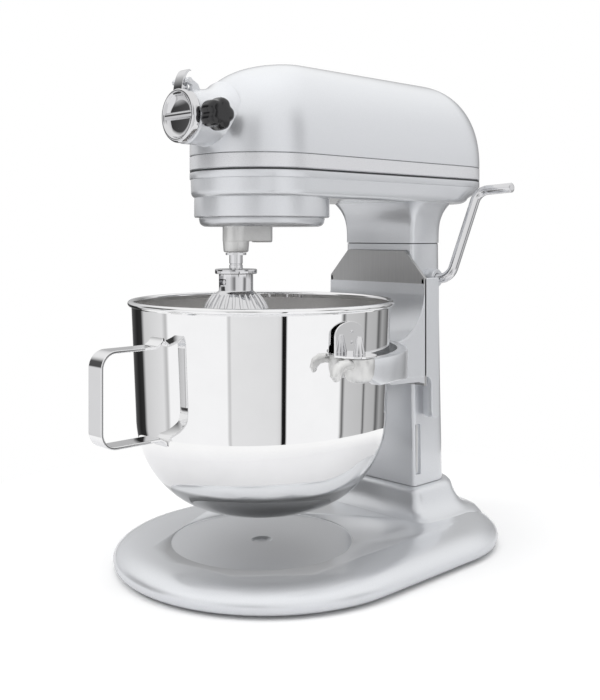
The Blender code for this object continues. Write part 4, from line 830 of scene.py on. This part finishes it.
ear = dict(x=0.1186, y=-0.0095, radius=0.0116, top=0.1832)
finger = dict(out=0.0020, radii=(0.0034, 0.0036, 0.0042, 0.0046, 0.0042, 0.0024),
              path=((0.0070, 0.1785), (0.0150, 0.1795), (0.0215, 0.1790), (0.0262, 0.1758), (0.0275, 0.1722),
                    (0.0262, 0.1690)))
bracket = dict(half=0.0160, floor=0.1836, arch=0.1990, rise=0.0105, thick=0.0014, tab=0.0115)


def makeBrackets():
    wall = bowlRadius(0.200) + 0.0006
    y, half, floor = ear["y"], bracket["half"], bracket["floor"]
    arch = [(y - half, floor), (y + half, floor), (y + half, bracket["arch"])]
    arch += [(y + half * cos(pi * k / 24), bracket["arch"] + bracket["rise"] * sin(pi * k / 24))
             for k in range(1, 24)] + [(y - half, bracket["arch"])]
    for side, name in ((-1, "Left"), (1, "Right")):
        face = plate(arch, wall, wall + bracket["thick"], "x")
        out = ear["x"] + bracket["tab"] - wall
        tab = [(wall + 0.0004, y - half)]
        tab += [(wall + out * sin(pi / 2 * min(k / 10, 1)), y - half
                 + bracket["tab"] * (1 - cos(pi / 2 * k / 10))) for k in range(3, 11)]
        tab += [(px, 2 * y - py) for px, py in reversed(tab)]
        flat = plate(tab, floor, floor + 0.0016)
        whole = gather(face, flat)
        piece = place("bowlBracket" + name, whole if side > 0 else flip(whole), "mirrorSteel", "bowl_carrier",
                      ["bowl_bracket_" + name.lower()], edge=0.0004)
        pin = turn([(0.0031, 0.1760), (0.0031, ear["top"] + 0.0002), (0.0044, ear["top"] + 0.0004),
                    (0.0046, ear["top"] + 0.0012),
                    (0.0046, ear["top"] + 0.0034), (0.0042, ear["top"] + 0.0048), (0.0022, 0.1982),
                    (0.0016, 0.1988), (0.0006, 0.1990)],
                   48, (side * ear["x"], y))
        place("conePin" + name, pin, "brightChrome", "bowl_carrier", ["locating_pin_" + name.lower()],
              sharp=40)
        rivets = []
        for dz in (0.0100, 0.0180):
            rivets.append(layAlongX(turn([(0.0013, wall + 0.0010), (0.0013, wall + 0.0018),
                                          (0.0007, wall + 0.0022)], 20),
                                    y + 0.0020, floor + dz))
        rivet = gather(*rivets)
        place("bracketRivets" + name, rivet if side > 0 else flip(rivet), "brightChrome", "bowl_carrier")


# yoke

yoke = dict(half=0.0587, depth=0.0217, plate=0.0034, top=0.2600, shoulder=0.2352, bottom=0.1075,
            armInner=rimRadius + 0.0018,
            sweep=0.0380, sweepTop=0.2215, armThick=0.0085, armTop=0.1810, armLow=0.1480)


def armSection(angle):
    side = min(angle, 180 - angle)
    rise = 0.0120 * ease((75 - side) / 60) + 0.0090 * max(1 - (side + 2) / 8, 0)
    low, top, inner = yoke["armLow"] + rise, yoke["armTop"], yoke["armInner"]
    outer = inner + yoke["armThick"]
    e = 0.0016
    section = [(inner, low), (outer - e, low), (outer - 0.0005, low + 0.0005), (outer, low + e),
               (outer, top - e),
               (outer - 0.0005, top - 0.0005), (outer - e, top), (inner, top)]
    a = radians(angle)
    return [(r * cos(a), r * sin(a), z) for r, z in section]


def smoothWing(f):
    # side view of the yoke's wall: it sweeps forward into the arm and drops back below it
    line = [(f + yoke["depth"], yoke["bottom"]), (f + yoke["depth"], yoke["shoulder"]), (f, yoke["shoulder"])]
    for k in range(15):
        t = k / 14
        line.append((f - yoke["sweep"] * t ** 1.75, yoke["sweepTop"] - 0.0405 * sin(pi / 2 * t)))
    line += [(f - yoke["sweep"], 0.1480), (f - 0.0040, 0.1463)]
    line += [(f + 0.0017 + 0.0090 * sin(pi / 2 * k / 8), 0.1372 + 0.0090 * cos(pi / 2 * k / 8))
             for k in range(9)]
    return line + [(f + 0.0107, 0.1140), (f + 0.0112, 0.1105), (f + 0.0125, 0.1085),
                   (f + 0.0150, yoke["bottom"])]


def yokeSection(x, f):
    # the hollow sweep between the plate and the arms, cut back to clear the bowl
    front = sqrt(yoke["armInner"] ** 2 - x * x)
    reach = f - front
    line = [(x, f + yoke["plate"], 0.2300), (x, f - 0.0001, 0.2300)]
    for k in range(17):
        t = k / 16
        line.append((x, f - 0.0001 - (reach - 0.0010) * t ** 1.75,
                     yoke["sweepTop"] - 0.0415 * sin(pi / 2 * t)))
    return line + [(x, front, 0.1790), (x, front, 0.1450), (x, front + 0.0010, 0.1440),
                   (x, f - 0.0080, 0.1425),
                   (x, f + 0.0010, 0.1400), (x, f + yoke["plate"], 0.1380)]


def makeYoke():
    f, half = post["front"] - 0.0039, yoke["half"]
    face = [(-half, 0.1380), (half, 0.1380), (half, yoke["shoulder"]), (0.0362, yoke["top"] - 0.0008),
            (0.0345, yoke["top"]),
            (-0.0345, yoke["top"]), (-0.0362, yoke["top"] - 0.0008), (-half, yoke["shoulder"])]
    place("yokePlate", plate(face, f, f + yoke["plate"], "y"), "yokePlate", "bowl_carrier", ["bowl_yoke"],
          edge=0.0008)
    sweep = bmesh.new()
    skin(sweep, [yokeSection(-half + 0.0002 + (2 * half - 0.0004) * k / 32, f) for k in range(33)])
    place("yokeSweep", sweep, "silverEnamel", "bowl_carrier", sharp=48)
    for side, name in ((-1, "Left"), (1, "Right")):
        wall = plate(smoothWing(f), half - 0.0042, half, "x")
        lip = plate([(half - 0.0010, f + 0.0120), (half - 0.0010, f + 0.0190), (half - 0.0036, f + 0.0216),
                     (0.0452, f + 0.0216),
                     (0.0448, f + 0.0150), (half - 0.0040, f + 0.0110)], yoke["bottom"] + 0.0006, 0.2346)
        whole = gather(wall, lip)
        place("yokeSide" + name, whole if side > 0 else flip(whole), "silverEnamel", "bowl_carrier",
              edge=0.0010, tidy=side < 0)
    arms = bmesh.new()
    skin(arms, [armSection(-2 + 184 * k / 72) for k in range(73)])
    place("yokeArms", arms, "silverEnamel", "bowl_carrier", sharp=40)
    ears = []
    for side in (-1, 1):
        cup = [(0.0010, 0.1643), (0.0050, 0.1646), (0.0078, 0.1655), (0.0098, 0.1676), (0.0109, 0.1706),
               (ear["radius"], 0.1760),
               (ear["radius"], ear["top"] - 0.0010), (ear["radius"] - 0.0005, ear["top"] - 0.0003),
               (ear["radius"] - 0.0012, ear["top"]),
               (0.0034, ear["top"]), (0.0034, 0.1760)]
        ears.append(turn(cup, 64, (side * ear["x"], ear["y"])))
        # the hooked finger in front of the ear
        path = [(side * (ear["x"] + finger["out"]), ear["y"] - ahead, z) for ahead, z in finger["path"]]
        ears.append(bar(path, finger["radii"], 28))
    place("yokeEars", gather(*ears), "blastedNickel", "bowl_carrier", sharp=45, tidy=False)


# lever

lever = dict(radius=0.0045, axisY=post["front"] + 0.0233, axisZ=0.2340, armX=0.0665, tipX=0.1040, bend=0.0110)


def makeLever():
    elbow = (lever["armX"], lever["axisY"] + 0.0440, lever["axisZ"] + 0.0815)
    corners = [(-0.0300, lever["axisY"], lever["axisZ"]), (lever["armX"], lever["axisY"], lever["axisZ"]),
               elbow,
               (lever["tipX"] - 0.0006, elbow[1], elbow[2] + 0.0020)]
    path = bentPath(corners, lever["bend"], 10)
    radii = [lever["radius"]] * len(path)
    end = Vector(path[-1])
    along = (end - path[-2]).normalized()
    path += [end + along * 0.0004, end + along * 0.0006]
    radii += [lever["radius"] - 0.0004, lever["radius"] - 0.0016]
    place("liftHandle", bar(path, radii, 40), "brightChrome", "lever", ["lift_lever"], sharp=60)
    x = post["half"]
    collar = layAlongX(turn([(lever["radius"] + 0.0004, x - 0.0010), (0.0085, x - 0.0010),
                             (0.0085, x + 0.0102),
                             (0.0078, x + 0.0112), (lever["radius"] + 0.0004, x + 0.0112)], 48, closed=True),
                       lever["axisY"], lever["axisZ"])
    place("leverCollar", collar, "silverEnamel", "frame", sharp=40)


# attachment hub

knob = dict(radius=0.0123, y=-0.0740, z=0.3665, start=0.0232, length=0.0160, lobes=5, sides=100, slices=24,
            domeShare=0.62)


def makeHubCap():
    f, r = hub["capFront"], fromAxis("hub_cap")[1].x
    back = hub["front"] - 0.0003
    dish = [(0.0008, f + 0.0040), (0.0120, f + 0.0038), (0.0160, f + 0.0030), (0.0174, f + 0.0016),
            (0.0180, f + 0.0004),
            (0.0188, f), (0.0198, f + 0.0002), (0.0207, f + 0.0010), (r, f + 0.0024), (r, back - 0.0006),
            (r - 0.0006, back),
            (0.0008, back)]
    disc = layAlongY(turn(dish, 96), 0, hub["z"])
    grip = []
    for k in range(9):
        a = pi * k / 8
        grip.append((hub["z"] + 0.0032 * cos(a), f + 0.0042 - 0.0034 * sin(a) ** 0.8))
    rail = plate([(y, z) for z, y in grip], -0.0170, 0.0170, "x")
    y, z = hub["hingeY"], hub["hingeZ"]
    # the thumb tab curls up and back over the hinge
    outer, inner = [], []
    for k in range(15):
        t = k / 14
        px = f + 0.0010 + 0.0086 * t ** 1.5
        pz = hub["z"] + 0.0160 + 0.0200 * sin(pi / 2 * t) ** 0.9
        outer.append((px - 0.0006, pz))
        inner.append((px + 0.0016 * (1 - 0.4 * t), pz - 0.0012 * t))
    tab = plate(outer + list(reversed(inner)), -hub["tabHalf"], hub["tabHalf"], "x")
    knuckle = layAlongX(turn([(0.0014, -0.0056), (0.0026, -0.0056), (0.0026, 0.0056), (0.0014, 0.0056)], 32,
                             closed=True), y, z)
    neck = plate([(back, hub["z"] + 0.0150), (f + 0.0026, hub["z"] + 0.0150), (f + 0.0030, z - 0.0010),
                  (y + 0.0012, z - 0.0012),
                  (back, hub["z"] + 0.0222)], -hub["tabHalf"], hub["tabHalf"], "x")
    place("hubLid", gather(disc, rail, tab, knuckle, neck), "brightChrome", "cap", ["hub_cap"], edge=0.0004,
          sharp=40, tidy=False)


def makeKnob():
    rings = []
    for step in range(knob["slices"] + 1):
        t = step / knob["slices"]
        size = (1 - abs(2 * t - 1) ** 3.0) ** 0.5 * 0.32 + 0.68 if 0 < t < 1 else 0.66
        line = []
        for i in range(knob["sides"]):
            a = 2 * pi * i / knob["sides"]
            wave = knob["lobes"] * a
            r = knob["radius"] * size * (0.985 + 0.085 * cos(wave) - 0.02 * cos(2 * wave))
            line.append((r * cos(a), r * sin(a), knob["start"] + knob["length"] * t))
        rings.append(line)
    dome = [(x * knob["domeShare"], y * knob["domeShare"], z) for x, y, z in rings[-1]]
    bm = bmesh.new()
    skin(bm, rings + [dome])
    place("clampKnob", layAlongX(bm, knob["y"], knob["z"]), "glossBlack", "knob", ["hub_knob"], sharp=60)


# planetary drive and whip

drive = dict(offset=0.0285, disc=0.0527, discLow=0.2810, discTop=0.2893, shaft=0.0055, armFront=0.0110,
             armBack=0.0088,
             armLow=0.2690)


def makePlanetary():
    low, r = drive["discLow"], drive["disc"]
    bore = drive["shaft"] + 0.0001
    profile = [(bore, low + 0.0002), (r - 0.0080, low)]
    profile += [(r - 0.0060 + 0.0056 * sin(pi / 2 * k / 8), low + 0.0050 * (1 - cos(pi / 2 * k / 8)))
                for k in range(9)]
    profile += [(r, low + 0.0062), (r - 0.0006, drive["discTop"]), (bore, drive["discTop"])]
    disc = turn(profile, 128, closed=True)
    place("planetDisc", disc, "silverEnamel", "planetary", ["planetary_housing"], sharp=40)
    e = drive["offset"]
    web = []
    for radius, centre, start in ((drive["armBack"], 0, 0), (drive["armFront"], -e, pi)):
        for k in range(19):
            a = start + pi * k / 18
            web.append((radius * cos(a), centre + radius * sin(a)))
    arm = plate(web, drive["armLow"], low + 0.0010)
    boss = turn([(0.0057, 0.2600), (0.0088, 0.2600), (0.0098, 0.2604), (0.0102, 0.2612), (0.0108, 0.2690),
                 (0.0108, low + 0.0010),
                 (0.0057, low + 0.0010)], 64, (0, -e), closed=True)
    hubBoss = turn([(0.0060, 0.2680), (0.0080, 0.2680), (0.0086, 0.2686), (0.0086, low + 0.0010),
                    (0.0060, low + 0.0010)], 48, closed=True)
    place("planetArm", gather(arm, boss, hubBoss), "blastedNickel", "planetary", edge=0.0007, tidy=False)
    shaft = turn([(0.0030, 0.2288), (0.0049, 0.2290), (0.0055, 0.2298), (0.0055, 0.2496), (0.0051, 0.2499),
                  (0.0051, 0.2507),
                  (0.0055, 0.2510), (0.0055, 0.3030)], 48, (0, -e))
    place("whipShaft", shaft, "brightChrome", "agitator", ["agitator_shaft"], sharp=40)


whip = dict(legs=12, wire=0.0011, radius=0.0500, top=0.2172, low=0.0560)


def makeWhip():
    e = drive["offset"]
    collar = [(0.0060, 0.2464), (0.0166, 0.2464), (0.0171, 0.2461), (0.0172, 0.2456), (0.0172, 0.2432),
              (0.0171, 0.2428),
              (0.0166, 0.2425), (0.0140, 0.2424), (0.0140, 0.2292), (0.0144, 0.2284), (0.0158, 0.2274)]
    for k in range(1, 9):
        t = k / 8
        collar.append((0.0158 + 0.0104 * t ** 0.85, 0.2274 - 0.0140 * t))
    collar += [(0.0264, 0.2124), (0.0262, 0.2118), (0.0254, 0.2118), (0.0236, 0.2130), (0.0150, 0.2250),
               (0.0060, 0.2254)]
    bm = turn(collar, 96, (0, -e), closed=True)
    piece = place("whipCollar", bm, "brightChrome", "agitator", ["whip_hub"], sharp=35)
    slot = plate([(-0.0062, 0.2336), (0.0034, 0.2336), (0.0034, 0.2384), (0.0000, 0.2384), (0.0000, 0.2410),
                  (-0.0062, 0.2410)],
                 -e - 0.0200, -e - 0.0070, "y")
    carve(piece, slot)
    flutes = []
    for k in range(whip["legs"] * 2):
        a = 2 * pi * k / (whip["legs"] * 2)
        path = [(r * cos(a), r * sin(a) - e, z) for r, z in ((0.0180, 0.2262), (0.0205, 0.2226),
                                                             (0.0232, 0.2184), (0.0256, 0.2140))]
        flutes.append(bar(path, (0.0010, 0.0014, 0.0015, 0.0012), 12))
    place("whipFlutes", gather(*flutes), "brightChrome", "agitator", sharp=60, tidy=False)
    wires = []
    drop = whip["top"] - whip["low"] - 0.0008
    for k in range(whip["legs"]):
        a = 2 * pi * (k + 0.5) / whip["legs"]
        path = []
        for s in range(31):
            t = s / 30
            z = whip["top"] - drop * sin(pi / 2 * t) ** 1.15
            depth = (whip["top"] - z) / drop
            swell = sin(pi * min(depth, 1) ** 1.35) ** 0.72 if 0 < depth < 1 else 0.0
            r = 0.0172 * (1 - depth) + 0.0040 * depth + (whip["radius"] - 0.0120) * swell
            path.append((r * cos(a), r * sin(a) - e, z))
        wires.append(bar(path, [whip["wire"]] * len(path), 12))
    grip = turn([(0.0050, 0.2162), (0.0190, 0.2160), (0.0195, 0.2164), (0.0195, 0.2176), (0.0100, 0.2190)],
                64, (0, -e))
    tip = turn([(0.0010, 0.0549), (0.0030, 0.0550), (0.0050, 0.0558), (0.0053, 0.0568), (0.0050, 0.0578),
                (0.0030, 0.0588)], 40, (0, -e))
    place("whipLoops", gather(*wires, grip, tip), "brightChrome", "agitator", ["whip_wires"], sharp=60,
          tidy=False)


# the frame's own nodes that stay as they are

carried = dict(
    footRubber=["rubber_foot_%d" % k for k in range(1, 6)],
    gearSteel=["column_bolt_%d" % k for k in range(1, 5)] + ["housing_screw_1", "housing_screw_2",
                                                             "ring_gear", "centre_shaft",
               "centre_gear", "centre_bevel_gear", "centre_bearing", "transfer_shaft", "transfer_pinion",
               "planetary_pinion",
               "lift_crank", "lift_rod", "hub_drive_shaft", "hub_bevel_gear", "armature_shaft", "stator"],
    gearBronze=["worm_wheel"],
    woundCopper=["armature_core", "commutator"],
    blastedNickel=["front_bearing_bracket", "rear_bearing_bracket"],
    brightChrome=["shaft_pin", "thrust_washer", "rear_latch_spring", "hub_knob_screw", "cap_hinge_pin",
                  "bowl_rear_pin"],
    glossBlack=["speed_lever"],
    mouldedGrey=["cooling_fan", "brush_left", "brush_right", "speed_control_board"],
)


def dressCarried():
    for finish, names in carried.items():
        for name in names:
            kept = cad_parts[name].data.materials
            kept.clear()
            kept.append(finishes[finish])


makeUpperHousing()
makeLowerHousing()
makeColumn()
makeBase()
print("head, column and base made")
makeBowl()
makeHandle()
makeBrackets()
makeYoke()
makeLever()
print("bowl, yoke and lever made")
makeHubCap()
makeKnob()
makePlanetary()
makeWhip()
dressCarried()
print("hub, drive and whip made")

bpy.context.scene.view_settings.view_transform = "Standard"
